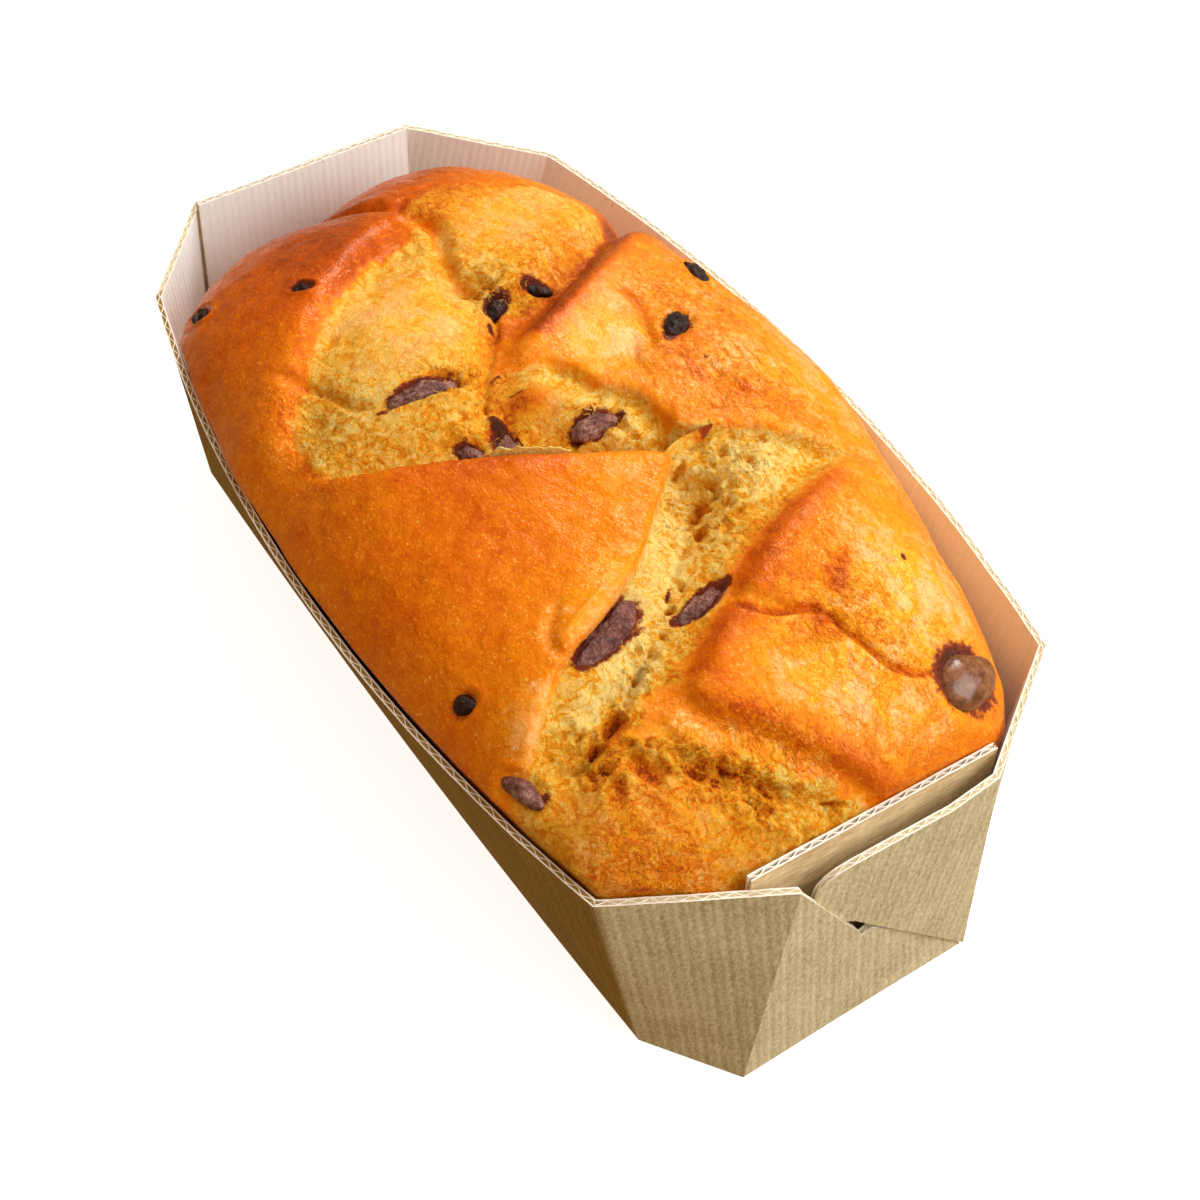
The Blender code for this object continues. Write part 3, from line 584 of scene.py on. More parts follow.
CREASES = (
    {"depth": 1.2, "width": 1.0, "ends": (5, 4),     # foot of the torn bulge
     "path": ((-35, -40), (-24.5, -35.1), (-18.8, -33.2), (-14.9, -28), (-12.2, -18.1),
              (-11, -13))},
    {"depth": 1.1, "width": 0.6, "ends": (3, 5),     # crease of the near right lobe
     "path": ((50.5, -5), (53.2, -2.4), (56.2, 1.2), (58.2, 6.4), (60.5, 8.4), (63.8, 8.6),
              (68.4, 10.3), (72.4, 12.2), (75.1, 16.1), (76, 20))},
    {"depth": 0.8, "width": 0.9, "ends": (1, 3),
     "path": ((58.4, 8), (59.6, 10.4), (61.2, 13.4))},
    {"depth": 0.5, "width": 1.3, "ends": (3, 3),     # short folds across the near right lobe
     "path": ((51, 20), (55, 14), (59, 10))},
    {"depth": 0.9, "width": 0.8, "ends": (4, 4),     # wrinkles on the long right lobe
     "path": ((-19, 21), (-12, 22), (-7, 19.5), (0, 17))},
    {"depth": 0.8, "width": 0.8, "ends": (3, 4),
     "path": ((-6, 17.5), (-3, 14), (1, 12.5), (6, 13))},
    {"depth": 0.7, "width": 0.9, "ends": (4, 4),
     "path": ((6, 24), (12, 23.5), (17, 27), (19, 33))},
    {"depth": 1.5, "width": 0.7, "ends": (4, 4),     # fissures down in the torn crumb
     "path": ((-27, 0.5), (-22, -2), (-19, -4.5), (-15, -8), (-10, -12), (-4, -16))},
    {"depth": 1.7, "width": 0.8, "ends": (3, 4),
     "path": ((49, -17), (51.5, -21), (54, -25), (57, -29), (59, -34), (60.5, -40), (58, -46))},
    {"depth": 1.3, "width": 0.8, "ends": (3, 3),
     "path": ((-60.5, -1), (-61, 2), (-62, 4.5))},
    {"depth": 0.9, "width": 0.6, "ends": (2, 3),     # crack between slope and coarse crumb
     "path": ((35, -0.5), (37, -3.3), (38.8, -5.8), (42.2, -9.6), (45.6, -12.8))},
    {"depth": 0.8, "width": 0.9, "ends": (4, 1),     # pleat at the curled end of the big lobe
     "path": ((35.5, -27), (38.3, -30.1), (40.9, -32.6), (43.4, -33.2), (46, -32.8))},
    {"depth": 1.1, "width": 0.6, "ends": (2, 2),     # fold behind the skinned dough
     "path": ((-5.4, -11.5), (-5.5, -8.6), (-4.8, -5.8), (-3, -3.6), (-1, -2.6))},
)
SWELLINGS = (
    {"at": (-31, -16), "size": (15, 12), "turn": 40, "height": 1.6},    # torn bulge
    {"at": (-62, 14), "size": (18, 16), "turn": 0, "height": 1.0},      # far end lobe
    {"at": (-58, -18), "size": (14, 22), "turn": 20, "height": 1.4},    # far left lobe
    {"at": (4, 30), "size": (26, 13), "turn": -8, "height": 1.4},       # long right lobe
    {"at": (64, 14), "size": (18, 14), "turn": -20, "height": 1.6},     # near right lobe
    {"at": (76, -34), "size": (14, 10), "turn": 60, "height": 1.4},     # near left corner
    {"at": (-2.6, -7.8), "size": (4.6, 3.0), "turn": 62, "height": 2.0},  # skinned dough
    {"at": (2.5, -2.5), "size": (4.2, 2.2), "turn": 30, "height": 1.4},   # by the middle chip
    {"at": (14, 5), "size": (5, 4), "turn": 10, "height": 0.9},
    {"at": (36, -7), "size": (8, 3.0), "turn": -45, "height": 1.2},     # slope of the valley
    {"at": (28, 12), "size": (6, 5), "turn": 0, "height": 0.8},
)
PITS = (
    {"at": (58.0, -31.8), "size": (2.2, 1.5), "turn": -60, "depth": 2.0},
    {"at": (67.5, -32.0), "size": (3.0, 1.9), "turn": 50, "depth": 1.6},
    {"at": (42.0, -7.5), "size": (1.0, 0.7), "turn": 0, "depth": 1.4},
    {"at": (46.0, -12.0), "size": (1.1, 0.7), "turn": -40, "depth": 1.5},
    {"at": (48.4, -15.2), "size": (0.8, 0.5), "turn": -40, "depth": 1.3},
    {"at": (23.6, 5.6), "size": (1.6, 0.6), "turn": -60, "depth": 1.8},
    {"at": (25.6, 5.0), "size": (0.8, 0.5), "turn": 20, "depth": 1.4},
    {"at": (31.0, 3.8), "size": (1.3, 0.9), "turn": -20, "depth": 1.8},
    {"at": (35.0, 1.8), "size": (1.4, 0.8), "turn": -50, "depth": 1.7},
    {"at": (28.7, 8.0), "size": (1.5, 1.0), "turn": 10, "depth": 1.3},
    {"at": (33.5, 7.6), "size": (1.2, 0.9), "turn": -30, "depth": 1.3},
    {"at": (37.0, 5.0), "size": (1.1, 0.8), "turn": 0, "depth": 1.1},
    {"at": (-31.5, 2.8), "size": (2.2, 0.8), "turn": 15, "depth": 1.3},
    {"at": (-31.0, -0.6), "size": (1.8, 0.5), "turn": 10, "depth": 1.2},
    {"at": (-28.0, -6.0), "size": (0.5, 0.4), "turn": 0, "depth": 1.0},
    {"at": (85.0, -7.0), "size": (2.2, 0.6), "turn": 60, "depth": 1.4},
    {"at": (79.0, -17.5), "size": (1.8, 0.5), "turn": 40, "depth": 1.1},
    {"at": (72.0, -25.5), "size": (1.6, 0.6), "turn": 60, "depth": 1.2},
    {"at": (64.5, -37.0), "size": (1.5, 0.8), "turn": 30, "depth": 1.1},
    {"at": (28.8, 16.0), "size": (1.0, 0.6), "turn": 40, "depth": 0.8},
    {"at": (9.5, -9.5), "size": (1.4, 0.9), "turn": 50, "depth": 1.0},
    {"at": (-6.0, -14.8), "size": (1.6, 0.7), "turn": -20, "depth": 1.0},
)


def groove(x, y, line):
    distance, _, along, total, _, _ = from_path(x, y, line["path"])
    return np.exp(-(distance / line["width"]) ** 2) * fading(along, total, line["ends"])


def on_big_lobe(x, y):
    """1 on the big left lobe and 0 beside it, because clefts stop at its two edges."""
    outline = CRUST_EDGES[0]["path"] + CRUST_EDGES[1]["path"]
    return smooth_step(0.5 + inside(x, y, outline) / 1.6)


def swelling(x, y, bump):
    return bump["height"] * np.exp(-oval(x, y, bump["at"], bump["size"], bump["turn"]) ** 2)


print(len(CLEFTS), "clefts,", len(CREASES), "creases,", len(PITS), "pits")

# %% [markdown]
# Where the crust tore open the soft crumb shows. The torn areas are outlines in plan with a
# ragged border. Inside them the surface gets holes and shreds, and outside it stays smooth.
# `crumb_share` says for each point how much it is crumb: 0 on crust, 1 in a tear.

# %% Torn areas
TORN_AREAS = (
    ((-52, 0.5), (-46, 0.5), (-38, -2.5), (-30, -1), (-24, 1), (-19, -4), (-13, -8), (-9, -3),
     (-3, 2), (2, 5), (7, 8.7), (13, 9.6), (18, 11), (21, 18), (26, 26), (30, 34), (33, 36),
     (35, 30), (37, 21), (40, 12), (43, 5), (47, -1), (51, -8), (54, -14), (57, -20),
     (60, -27), (61, -35), (61, -42), (59, -50), (55, -46), (51, -40.5), (47, -35), (44.6, -30),
     (42.7, -24), (40.4, -19), (37.8, -14.3), (34.8, -10), (31, -5.8), (27.2, -1.6),
     (24.4, 1.8), (22, 5), (18.4, 0.6), (14.1, -6.4), (8.6, -16.2), (3, -26), (-3.2, -36.8),
     (-8, -42), (-13, -44.5), (-20, -43.5), (-27, -39), (-34, -31), (-39.5, -25), (-44, -18),
     (-48.5, -10), (-50, -4)),
    ((-59, 1.5), (-52, 2.5), (-46, 1), (-38, -2.5), (-30, -1), (-23, 1), (-22, 4), (-25, 11),
     (-29, 20), (-35, 30), (-41, 36), (-48, 33), (-54, 26), (-58, 17), (-60, 8)),
    ((59, -34), (64, -26), (70, -20.5), (76, -14), (82, -7), (88, 0), (92, -16), (90, -32),
     (84, -44), (74, -50), (63, -53), (59, -49)),
)
SMOOTH_CRUMB = (      # where a skin stretched over the crumb before it tore
    {"at": (-31, -15), "size": (18, 14), "turn": 40},
    {"at": (-44, 16), "size": (15, 16), "turn": 0},
    {"at": (-31, 18), "size": (6, 14), "turn": 30},
    {"at": (79, -37), "size": (16, 11), "turn": 40},
    {"at": (-1, -6), "size": (5, 5), "turn": 0},
)
COARSE_CRUMB = (      # where the crumb is open and shredded
    {"at": (32, 5), "size": (9, 8), "turn": -20},
    {"at": (27, 14), "size": (7, 9), "turn": 20},
    {"at": (52, -22), "size": (10, 3), "turn": -60},
    {"at": (74, -22), "size": (15, 4), "turn": 42},
    {"at": (62, -36), "size": (7, 6), "turn": 0},
    {"at": (-29, 3), "size": (7, 5), "turn": 0},
    {"at": (2, -17), "size": (9, 5), "turn": 40},
    {"at": (10, 0), "size": (8, 6), "turn": 20},
    {"at": (-12, -16), "size": (5, 6), "turn": 0},
)
WRINKLED_CRUST = (    # where the skin of the crust puckered
    {"at": (4, 32), "size": (26, 13), "turn": -8},
    {"at": (62, 6), "size": (16, 8), "turn": 10},
    {"at": (74, -36), "size": (14, 10), "turn": 40},
    {"at": (-31, -16), "size": (15, 12), "turn": 40},
    {"at": (-60, 14), "size": (16, 16), "turn": 0},
)
CLEAN_EDGES = (CRUST_EDGES[0], CRUST_EDGES[1])
RAGGED = 2.0


def highest_patch(x, y, patches):
    """The strongest of several soft ovals, from 0 to 1."""
    total = np.zeros(x.shape)
    for patch in patches:
        total = np.maximum(total, np.exp(-oval(x, y, **patch) ** 2))
    return total


def crumb_share(x, y, plain):
    """How much each point is torn crumb, how coarse that crumb is, and how skinned over."""
    near_clean = np.zeros(x.shape)
    on_lobe = np.zeros(x.shape)
    for edge in CLEAN_EDGES:
        distance, side, along, total, _, _ = from_path(x, y, edge["path"])
        near_clean = np.maximum(near_clean, np.exp(-(distance / 4) ** 2))
        held = smooth_step((distance * side + 0.1) / 0.5) * np.exp(-(distance / 3) ** 2)
        on_lobe = np.maximum(on_lobe, held * fading(along, total, edge["ends"]))
    wander = RAGGED * (1 - near_clean)
    ragged_x = x + wander * (lumps(plain, 5, 3.1) + 0.6 * lumps(plain, 1.8, 4.2))
    ragged_y = y + wander * (lumps(plain, 5, 7.7) + 0.6 * lumps(plain, 1.8, 9.4))
    share = np.zeros(x.shape)
    for outline in TORN_AREAS:
        share = np.maximum(share, smooth_step(0.5 + inside(ragged_x, ragged_y, outline) / 2.0))
    share = share * (1 - on_lobe)
    coarse = highest_patch(x, y, COARSE_CRUMB)
    skinned = highest_patch(x, y, SMOOTH_CRUMB) * (1 - coarse)
    return share, coarse * share, skinned * share


# %% [markdown]
# Each chocolate chip lies in the dough, so the bread has a shallow seat under it and a slight
# lip round it. The chips are listed here because the bread needs to know where they are.

# %% Chips and their seats
CHIPS = (
    {"name": "chip_big", "at": (78.5, 25.0), "size": (6.6, 4.9, 3.3), "turn": 100, "proud": 2.0},
    {"name": "chip_lobe_edge", "at": (44.2, -23.8), "size": (8.5, 3.2, 2.8), "turn": -71,
     "proud": 1.0},
    {"name": "chip_valley", "at": (46.9, -6.4), "size": (5.2, 1.8, 1.5), "turn": -76,
     "proud": 0.35},
    {"name": "chip_middle", "at": (7.0, -0.9), "size": (4.3, 2.1, 2.1), "turn": 86,
     "proud": 1.2},
    {"name": "chip_cleft", "at": (1.8, -15.4), "size": (3.4, 2.5, 1.8), "turn": -10,
     "proud": 0.7},
    {"name": "chip_under_lobe", "at": (0.4, -22.0), "size": (2.7, 1.8, 1.5), "turn": 35,
     "proud": 0.8},
    {"name": "chip_long", "at": (-14.0, -22.4), "size": (6.6, 2.1, 1.8), "turn": 79,
     "proud": 0.8},
    {"name": "chip_fold_low", "at": (-26.8, 1.2), "size": (3.2, 2.1, 1.9), "turn": -60,
     "proud": 0.8},
    {"name": "chip_fold_high", "at": (-27.5, 10.2), "size": (3.0, 1.5, 1.4), "turn": 60,
     "proud": 0.7},
    {"name": "chip_far_left", "at": (-46.8, -26.2), "size": (2.2, 1.3, 1.2), "turn": 50,
     "proud": 0.3},
    {"name": "chip_far_corner", "at": (-62.5, -40.0), "size": (3.0, 1.8, 1.5), "turn": 10,
     "proud": 0.7},
    {"name": "chip_right_lobe", "at": (-4.6, 24.6), "size": (3.7, 2.6, 2.2), "turn": -55,
     "proud": 1.2},
    {"name": "chip_right_side", "at": (-19.2, 40.2), "size": (4.3, 2.0, 1.7), "turn": -22,
     "proud": 0.9},
    {"name": "chip_under_skin", "at": (40.4, -47.8), "size": (2.2, 1.8, 1.3), "turn": 70,
     "proud": 0.6},
    {"name": "chip_left_rim", "at": (57.2, -48.2), "size": (4.2, 1.9, 1.7), "turn": 12,
     "proud": 0.9},
)


def chip_seats(x, y):
    height = np.zeros(x.shape)
    for chip in CHIPS:
        reach = oval(x, y, chip["at"], chip["size"][:2], chip["turn"])
        height -= 0.7 * np.exp(-(reach / 0.95) ** 4)
        height += 0.35 * np.exp(-((reach - 1.3) / 0.22) ** 2)
    return height


# %% [markdown]
# Now the parts add up. `broad_relief` is the shape without grain, which the chips stand on.
# `grain` adds the grain: slow waves in the crust, and ridges, holes and shreds in the
# crumb. It also returns how deep each point lies in a groove, for the colour later.

# %% Relief of the whole top
WAVE_LENGTH = 13.0
WAVE_HEIGHT = 0.45


def broad_relief(x, y):
    """Height, and shift in plan, of the lobes, clefts and swellings."""
    flat = np.stack([x, y, np.full(x.shape, 0.5 * WAVE_LENGTH)], -1)
    height = WAVE_HEIGHT * lumps(flat, WAVE_LENGTH)
    shift_x = np.zeros(x.shape)
    shift_y = np.zeros(x.shape)
    for edge in CRUST_EDGES:
        rise, move_x, move_y = crust_edge(x, y, edge)
        height += rise
        shift_x += move_x
        shift_y += move_y
    spared = 1 - 0.9 * on_big_lobe(x, y)
    for line in CLEFTS:
        height -= line["depth"] * groove(x, y, line) * spared
    for line in CREASES:
        height -= line["depth"] * groove(x, y, line)
    for bump in SWELLINGS:
        height += swelling(x, y, bump)
    return height, shift_x, shift_y


def grain(x, y, plain, crumb, coarse, skinned):
    """Fine relief: soft dimples on crust, ridges and holes in crumb."""
    wrinkled = highest_patch(x, y, WRINKLED_CRUST)
    smooth = 0.26 * lumps(plain, 6.0, 1.3) + 0.10 * lumps(plain, 2.2, 2.9)
    smooth += wrinkled * (0.22 * lumps(plain * (1, 1.7, 1), 3.6, 14.3)
                          - 0.30 * np.abs(lumps(plain * (1, 1.6, 1), 4.5, 15.1)))
    bent = plain + 1.5 * np.stack([lumps(plain, 4, 11.0), lumps(plain, 4, 12.0),
                                   lumps(plain, 4, 13.0)], -1)
    ridges = 1 - 2 * np.abs(lumps(bent * (1, 1, 0.6), 2.9, 5.5))
    fine = 1 - 2 * np.abs(lumps(bent, 1.5, 6.5))
    holes = smooth_step((lumps(bent, 2.6, 8.5) - 0.18) / 0.35)
    small_holes = smooth_step((lumps(bent, 1.3, 9.5) - 0.25) / 0.3)
    torn = 0.30 * ridges + 0.14 * fine - 0.5 * small_holes * (0.3 + coarse) - 1.3 * holes * coarse
    torn += 1.1 * coarse * ridges * fine
    torn = torn * (1 - 0.72 * skinned) + skinned * smooth
    height = (1 - crumb) * smooth + crumb * torn
    pits = np.zeros(x.shape)
    for pit in PITS:
        reach = oval(bent[..., 0], bent[..., 1], pit["at"], pit["size"], pit["turn"])
        height -= pit["depth"] * np.exp(-reach ** 4)
        height += 0.3 * np.exp(-((reach - 1.5) / 0.35) ** 2)
        pits = np.maximum(pits, np.exp(-reach ** 4))
    hollow = np.clip(holes * coarse + 0.6 * small_holes * (0.3 + coarse), 0, 1) * crumb
    return height, np.maximum(hollow, 1.1 * pits)


def surface_point(x, y):
    """Place and outward direction on the baked surface over a plan point."""
    step = 0.8
    xs = np.array([x, x + step, x])
    ys = np.array([y, y, y + step])
    share = np.hypot(xs, ys) / outline_radius(np.arctan2(ys, xs))
    plain = np.stack([xs, ys, dome_height(share)], -1)
    outward = np.cross(plain[1] - plain[0], plain[2] - plain[0])
    outward /= np.linalg.norm(outward)
    return plain[0] + outward * broad_relief(xs, ys)[0][0], outward


# %% [markdown]
# ## How brown the crust is
# Colour on bread follows the oven: high crust and lobe edges brown first, crust that opened
# late stays golden, and torn crumb is pale yellow. `tone` is one number for each point, from
# 0, pale crumb, to 1, dark crust. Painting it as soft ovals and bands in plan keeps each one
# easy to find and change, and the material turns the number into colour. Some bands and the
# hollows of the crumb add painted shade: they make clefts, creases and holes browner.

# %% Tone of crust and crumb
CRUST_TONE = 0.60
CRUST_OVALS = (
    ((-58, -18), (21, 27), 20, 0.31),     # far left lobe
    ((-76, 14), (13, 28), 0, 0.20),       # crust of the far end
    ((12, -30), (25, 15), -20, 0.12),     # middle of the big left lobe
    ((0, -48), (50, 7), 0, 0.06),
    ((39, -20), (7, 13), 25, -0.13),      # its near edge
    ((22, -5), (7, 7), 0, -0.13),         # its tip
    ((8, 28), (26, 12), -8, -0.16),       # long right lobe
    ((-8, 11), (8, 8.5), 0, -0.27),       # its pale patch
    ((12, 45), (34, 7), -4, -0.14),
    ((0, 27), (4, 8), 0, 0.12),
    ((3, 21), (8, 4), -20, 0.16),         # dark orange below the chip
    ((16, 27), (9, 4), 25, 0.14),
    ((62, 24), (17, 11), -15, -0.27),     # near right lobe
    ((70, 3), (15, 8), 38, -0.24),
    ((74, -34), (17, 13), 40, -0.20),     # near left corner
    ((72, -16), (12, 5), 40, -0.06),
    ((87, 14), (3, 14), 0, 0.12),
    ((-50, 42), (16, 6), 15, 0.08),
    ((-62, 30), (10, 8), 0, -0.06),
)
CRUST_BANDS = (
    (((15, -9), (8, -18), (2, -28), (-3, -37)), 4.0, 0.10),
    (((-47, 43), (-38, 37), (-32, 29), (-27, 21), (-22, 13.5), (-18, 6.5), (-14, 0)), 3.4, 0.44),
    (((35, 31), (39, 21), (43, 11), (47, 3), (51, -1)), 4.2, 0.22),
    (((52.5, -1), (54, -7), (57, -13), (60, -17)), 3.2, 0.26),
    (((60, -17), (65, -15.5), (70, -11), (76, -6), (82, -0.5), (89, 5)), 2.6, 0.15),
    # painted shade: the next four bands darken the crease and folds of the near right lobe and the
    # wrinkles of the long right lobe
    (((50.5, -5), (53.2, -2.4), (56.2, 1.2), (58.2, 6.4), (60.5, 8.4), (63.8, 8.6),
      (68.4, 10.3), (72.4, 12.2), (75.1, 16.1), (76, 20)), 0.6, 0.26),
    (((51, 20), (55, 14), (59, 10)), 1.6, 0.26),
    (((59, 9), (61.5, 5), (64, 2.5)), 1.4, 0.22),
    (((-19, 21), (-12, 22), (-7, 19.5), (0, 17)), 1.0, 0.12),
    (((-77, -14), (-61, -1), (-52, 2.2)), 1.8, -0.14),
    (((46, -36), (50, -41), (54, -47)), 4.0, -0.12),
)
CRUMB_TONE = 0.19
CRUMB_OVALS = (
    ((-16, -39), (15, 7), -15, 0.02),     # lower torn area
    ((-9, -24), (8, 11), 0, 0.10),
    ((37, -9), (16, 5), -47, -0.24),      # bright slope of the valley
    ((31, 15), (9, 14), -10, -0.22),      # crumb beside the near right lobe
    ((-31, -14), (16, 14), 40, 0.07),    # torn bulge
    ((-14, -27), (5, 9), -15, -0.12),
    ((12, 4), (8, 4), 20, -0.12),
    ((31, 5), (8, 7), -20, 0.12),         # coarse crumb right of the valley
    ((54, -33), (4, 9), 20, -0.16),
    ((52, -22), (4, 10), 15, -0.12),
    ((-2.6, -7.8), (4.6, 2.6), 64, 0.42),  # skinned dough
    ((-58, 13), (6, 14), 10, 0.34),
    ((-40, 18), (12, 14), 0, 0.18),
    ((-46, -5), (5, 5), 0, -0.04),
    ((27, 20), (7, 9), 0, -0.02),
    ((52, -41), (5, 7), 0, 0.06),
    ((75, -20), (14, 5), 42, 0.16),
    ((79, -37), (15, 14), 40, 0.34),      # near left corner
    ((62, -47), (6, 5), 0, 0.10),
)
CRUMB_BANDS = (
    # painted shade: the first four bands darken the crumb down in the clefts and below the lobes'
    # edges
    (((51.5, -5), (55, -13), (58.5, -21), (60.5, -31), (61, -40)), 3.4, 0.24),
    (((33, 32), (36, 24), (40, 13), (44, 5), (48, -1)), 3.0, 0.28),
    (((-24, 0), (-12, -8), (0, -14), (8, -8), (16, 0), (21, 5)), 4.0, 0.20),
    (((-33, 27), (-27, 17), (-22, 5), (-17, -4)), 4.0, 0.34),
    (((-52, -3), (-50, -10), (-45, -19), (-39, -27)), 1.6, -0.06),
    (((-30, -38), (-20, -43), (-10, -43)), 3.0, 0.04),
)


def soft_ovals(x, y, ovals):
    total = np.zeros(x.shape)
    for at, size, turn, amount in ovals:
        total += amount * np.exp(-oval(x, y, at, size, turn) ** 2)
    return total


def soft_bands(x, y, bands):
    total = np.zeros(x.shape)
    for path, width, amount in bands:
        line = {"path": path, "width": width, "ends": (3, 3)}
        total += amount * groove(x, y, line)
    return total


def tone(x, y, crumb, hollow, fine):
    """How brown each point is, from 0, pale crumb, to 1, dark crust, with painted shade in creases,
    clefts and hollows.
    """
    crust = CRUST_TONE + soft_ovals(x, y, CRUST_OVALS) + soft_bands(x, y, CRUST_BANDS)
    inner = CRUMB_TONE + soft_ovals(x, y, CRUMB_OVALS) + soft_bands(x, y, CRUMB_BANDS)
    # painted shade: the crumb's holes, pits and dips are made browner, and its ridges a little paler
    inner += 0.20 * hollow + 0.15 * np.clip(-fine, -0.4, 1.2)
    return (1 - crumb) * crust + crumb * inner


# %% [markdown]
# Chocolate melts and stains the crumb round it, so there is a second painted number for it.
# Every chip gets a thin ring, fainter where it lay on dry crust, and a few loose streaks show
# where chocolate ran. One of them, the dark rim in the fold behind the skinned dough, is
# painted shade.

# %% Chocolate smears, and one painted shade
RINGED = {"chip_big": 0.75, "chip_right_lobe": 0.7, "chip_right_side": 0.5,
          "chip_under_skin": 0.5, "chip_far_corner": 0.6, "chip_left_rim": 0.3}
RING_WIDTH = 0.45
LOBE_CHIPS_FROM = -45      # only the chips left of this lie in the big lobe itself
SMEARS_AND_SHADE = (
    ((77.4, 24.0), (6.5, 5.2), 100, 1.0),      # the crescent where the big chip melted
    ((-2.6, 21.6), (2.2, 1.4), -50, 0.9),
    ((7.8, 3.8), (1.3, 0.9), 80, 0.8),
    ((-1.6, -14.4), (2.6, 1.5), 10, 0.9),      # maroon crumb beside the skinned dough
    ((3.2, -14.2), (2.2, 1.6), 60, 0.8),
    # painted shade: this dark rim lies in the fold behind the skinned dough
    ((-5.1, -7.4), (3.4, 0.45), 72, 0.72),     # dark rim of the skinned dough
    ((46.2, -1.6), (1.8, 1.1), -70, 0.8),
    ((47.6, -11.4), (2.2, 1.2), -80, 0.9),
    ((42.2, -9.8), (1.6, 0.5), -50, 0.8),
    ((46.4, -19.0), (2.4, 0.8), -80, 0.6),
    ((-10.9, -9.2), (1.7, 0.5), -70, 0.8),
    ((-13.6, -29.5), (2.0, 0.7), 75, 0.7),
    ((5.2, 23.6), (0.5, 0.4), 0, 0.9),
    ((56.4, 27.1), (0.8, 0.6), -20, 0.9),
    ((60.4, -47.0), (1.6, 1.0), 30, 0.7),
    ((-22.4, -3.0), (1.2, 0.6), -30, 0.9),
    ((-17.5, 38.5), (2.0, 0.9), -60, 0.6),
)


def smear_and_shade(x, y):
    total = np.zeros(x.shape)
    rings = [(chip["at"], tuple(side + RING_WIDTH for side in chip["size"][:2]), chip["turn"],
              RINGED.get(chip["name"], 0.9)) for chip in CHIPS]
    held = on_big_lobe(x, y)
    for at, size, turn, amount in (*rings, *SMEARS_AND_SHADE):
        overlay_tint = amount * np.exp(-0.7 * oval(x, y, at, size, turn) ** 4)
        if at[1] > LOBE_CHIPS_FROM:
            overlay_tint = overlay_tint * (1 - held)
        total = np.maximum(total, overlay_tint)
    return total


# %% [markdown]
# ## The bread's mesh
# The top is a grid of about half a millimetre, fine enough for the shreds of the crumb. Below
# the rim of the case the sides are only plain rings that follow the case down to a rounded
# foot, because no one sees them.

# %% Build the bread
GRID_LONG = 404
GRID_WIDE = 214
SIDE_RINGS = 6
SIDE_FLARE = 0.03
FLOOR_GAP = 0.4
FOOT_ROUNDING = 5.0


def numbers_on(mesh, name, values):
    """Store one number for each point of a mesh, for its material to read."""
    layer = mesh.attributes.new(name, "FLOAT", "POINT")
    layer.data.foreach_set("value", np.asarray(values, np.float32))


def mesh_piece(name, points, faces, looks):
    """An object in the frame from millimetre points, riding on the part's one body."""
    mesh = bpy.data.meshes.new(name)
    mesh.from_pydata([tuple(p) for p in in_frame(points)], [], faces)
    shape = bmesh.new()
    shape.from_mesh(mesh)
    bmesh.ops.recalc_face_normals(shape, faces=shape.faces)
    shape.to_mesh(mesh)
    shape.free()
    for look in looks:
        mesh.materials.append(look)
    thing = bpy.data.objects.new(name, mesh)
    scene.collection.objects.link(thing)
    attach(thing, "root")
    return thing


def sides_below(rim_points, first):
    """Rings and faces from the rim of the grid down to the foot, and their points."""
    count = len(rim_points)
    rings = []
    for k in range(1, SIDE_RINGS + 1):
        share = k / SIDE_RINGS
        ring = rim_points.copy()
        ring[:, 2] += (BOARD + FLOOR_GAP - rim_points[:, 2]) * share
        ring[:, :2] *= 1 + SIDE_FLARE * share
        ring = keep_inside(ring)
        if k == SIDE_RINGS:
            foot = ring.copy()
            ring[:, 2] += FOOT_ROUNDING
            foot[:, :2] *= 1 - FOOT_ROUNDING / np.hypot(foot[:, 0], foot[:, 1])[:, None]
            rings += [keep_inside(ring), foot]
        else:
            rings.append(ring)
    faces = []
    for k in range(1, len(rings)):
        a, b = first + (k - 1) * count, first + k * count
        faces += [(a + i, b + i, b + (i + 1) % count, a + (i + 1) % count)
                  for i in range(count)]
    return np.vstack(rings), faces, count


plain, outward = dome_grid(GRID_LONG, GRID_WIDE)
px, py = plain[..., 0], plain[..., 1]
crumb, coarse, skinned = crumb_share(px, py, plain)
broad, shift_x, shift_y = broad_relief(px, py)
fine, hollow = grain(px, py, plain, crumb, coarse, skinned)
top = plain + outward * (broad + fine + chip_seats(px, py))[..., None]
top[..., 0] += shift_x
top[..., 1] += shift_y
top = keep_inside(top)
bread_tone = tone(px, py, crumb, hollow, fine)
bread_smear_and_shade = smear_and_shade(px, py)

rows, columns = top.shape[:2]
number = np.arange(rows * columns).reshape(rows, columns)
faces = [(number[i, j], number[i + 1, j], number[i + 1, j + 1], number[i, j + 1])
         for i in range(rows - 1) for j in range(columns - 1)]
rim = np.concatenate([number[:-1, 0], number[-1, :-1], number[:0:-1, -1], number[0, :0:-1]])
side_points, side_faces, count = sides_below(top.reshape(-1, 3)[rim], rows * columns)
below = rows * columns + np.arange(count)
faces += [(rim[i], below[i], below[(i + 1) % count], rim[(i + 1) % count])
          for i in range(count)]
faces += side_faces
last = rows * columns + len(side_points) - count
faces.append(tuple(range(last + count - 1, last - 1, -1)))
bread_points = np.vstack([top.reshape(-1, 3), side_points])
side_count = len(side_points)
print("bread:", len(bread_points), "points,", len(faces), "faces")
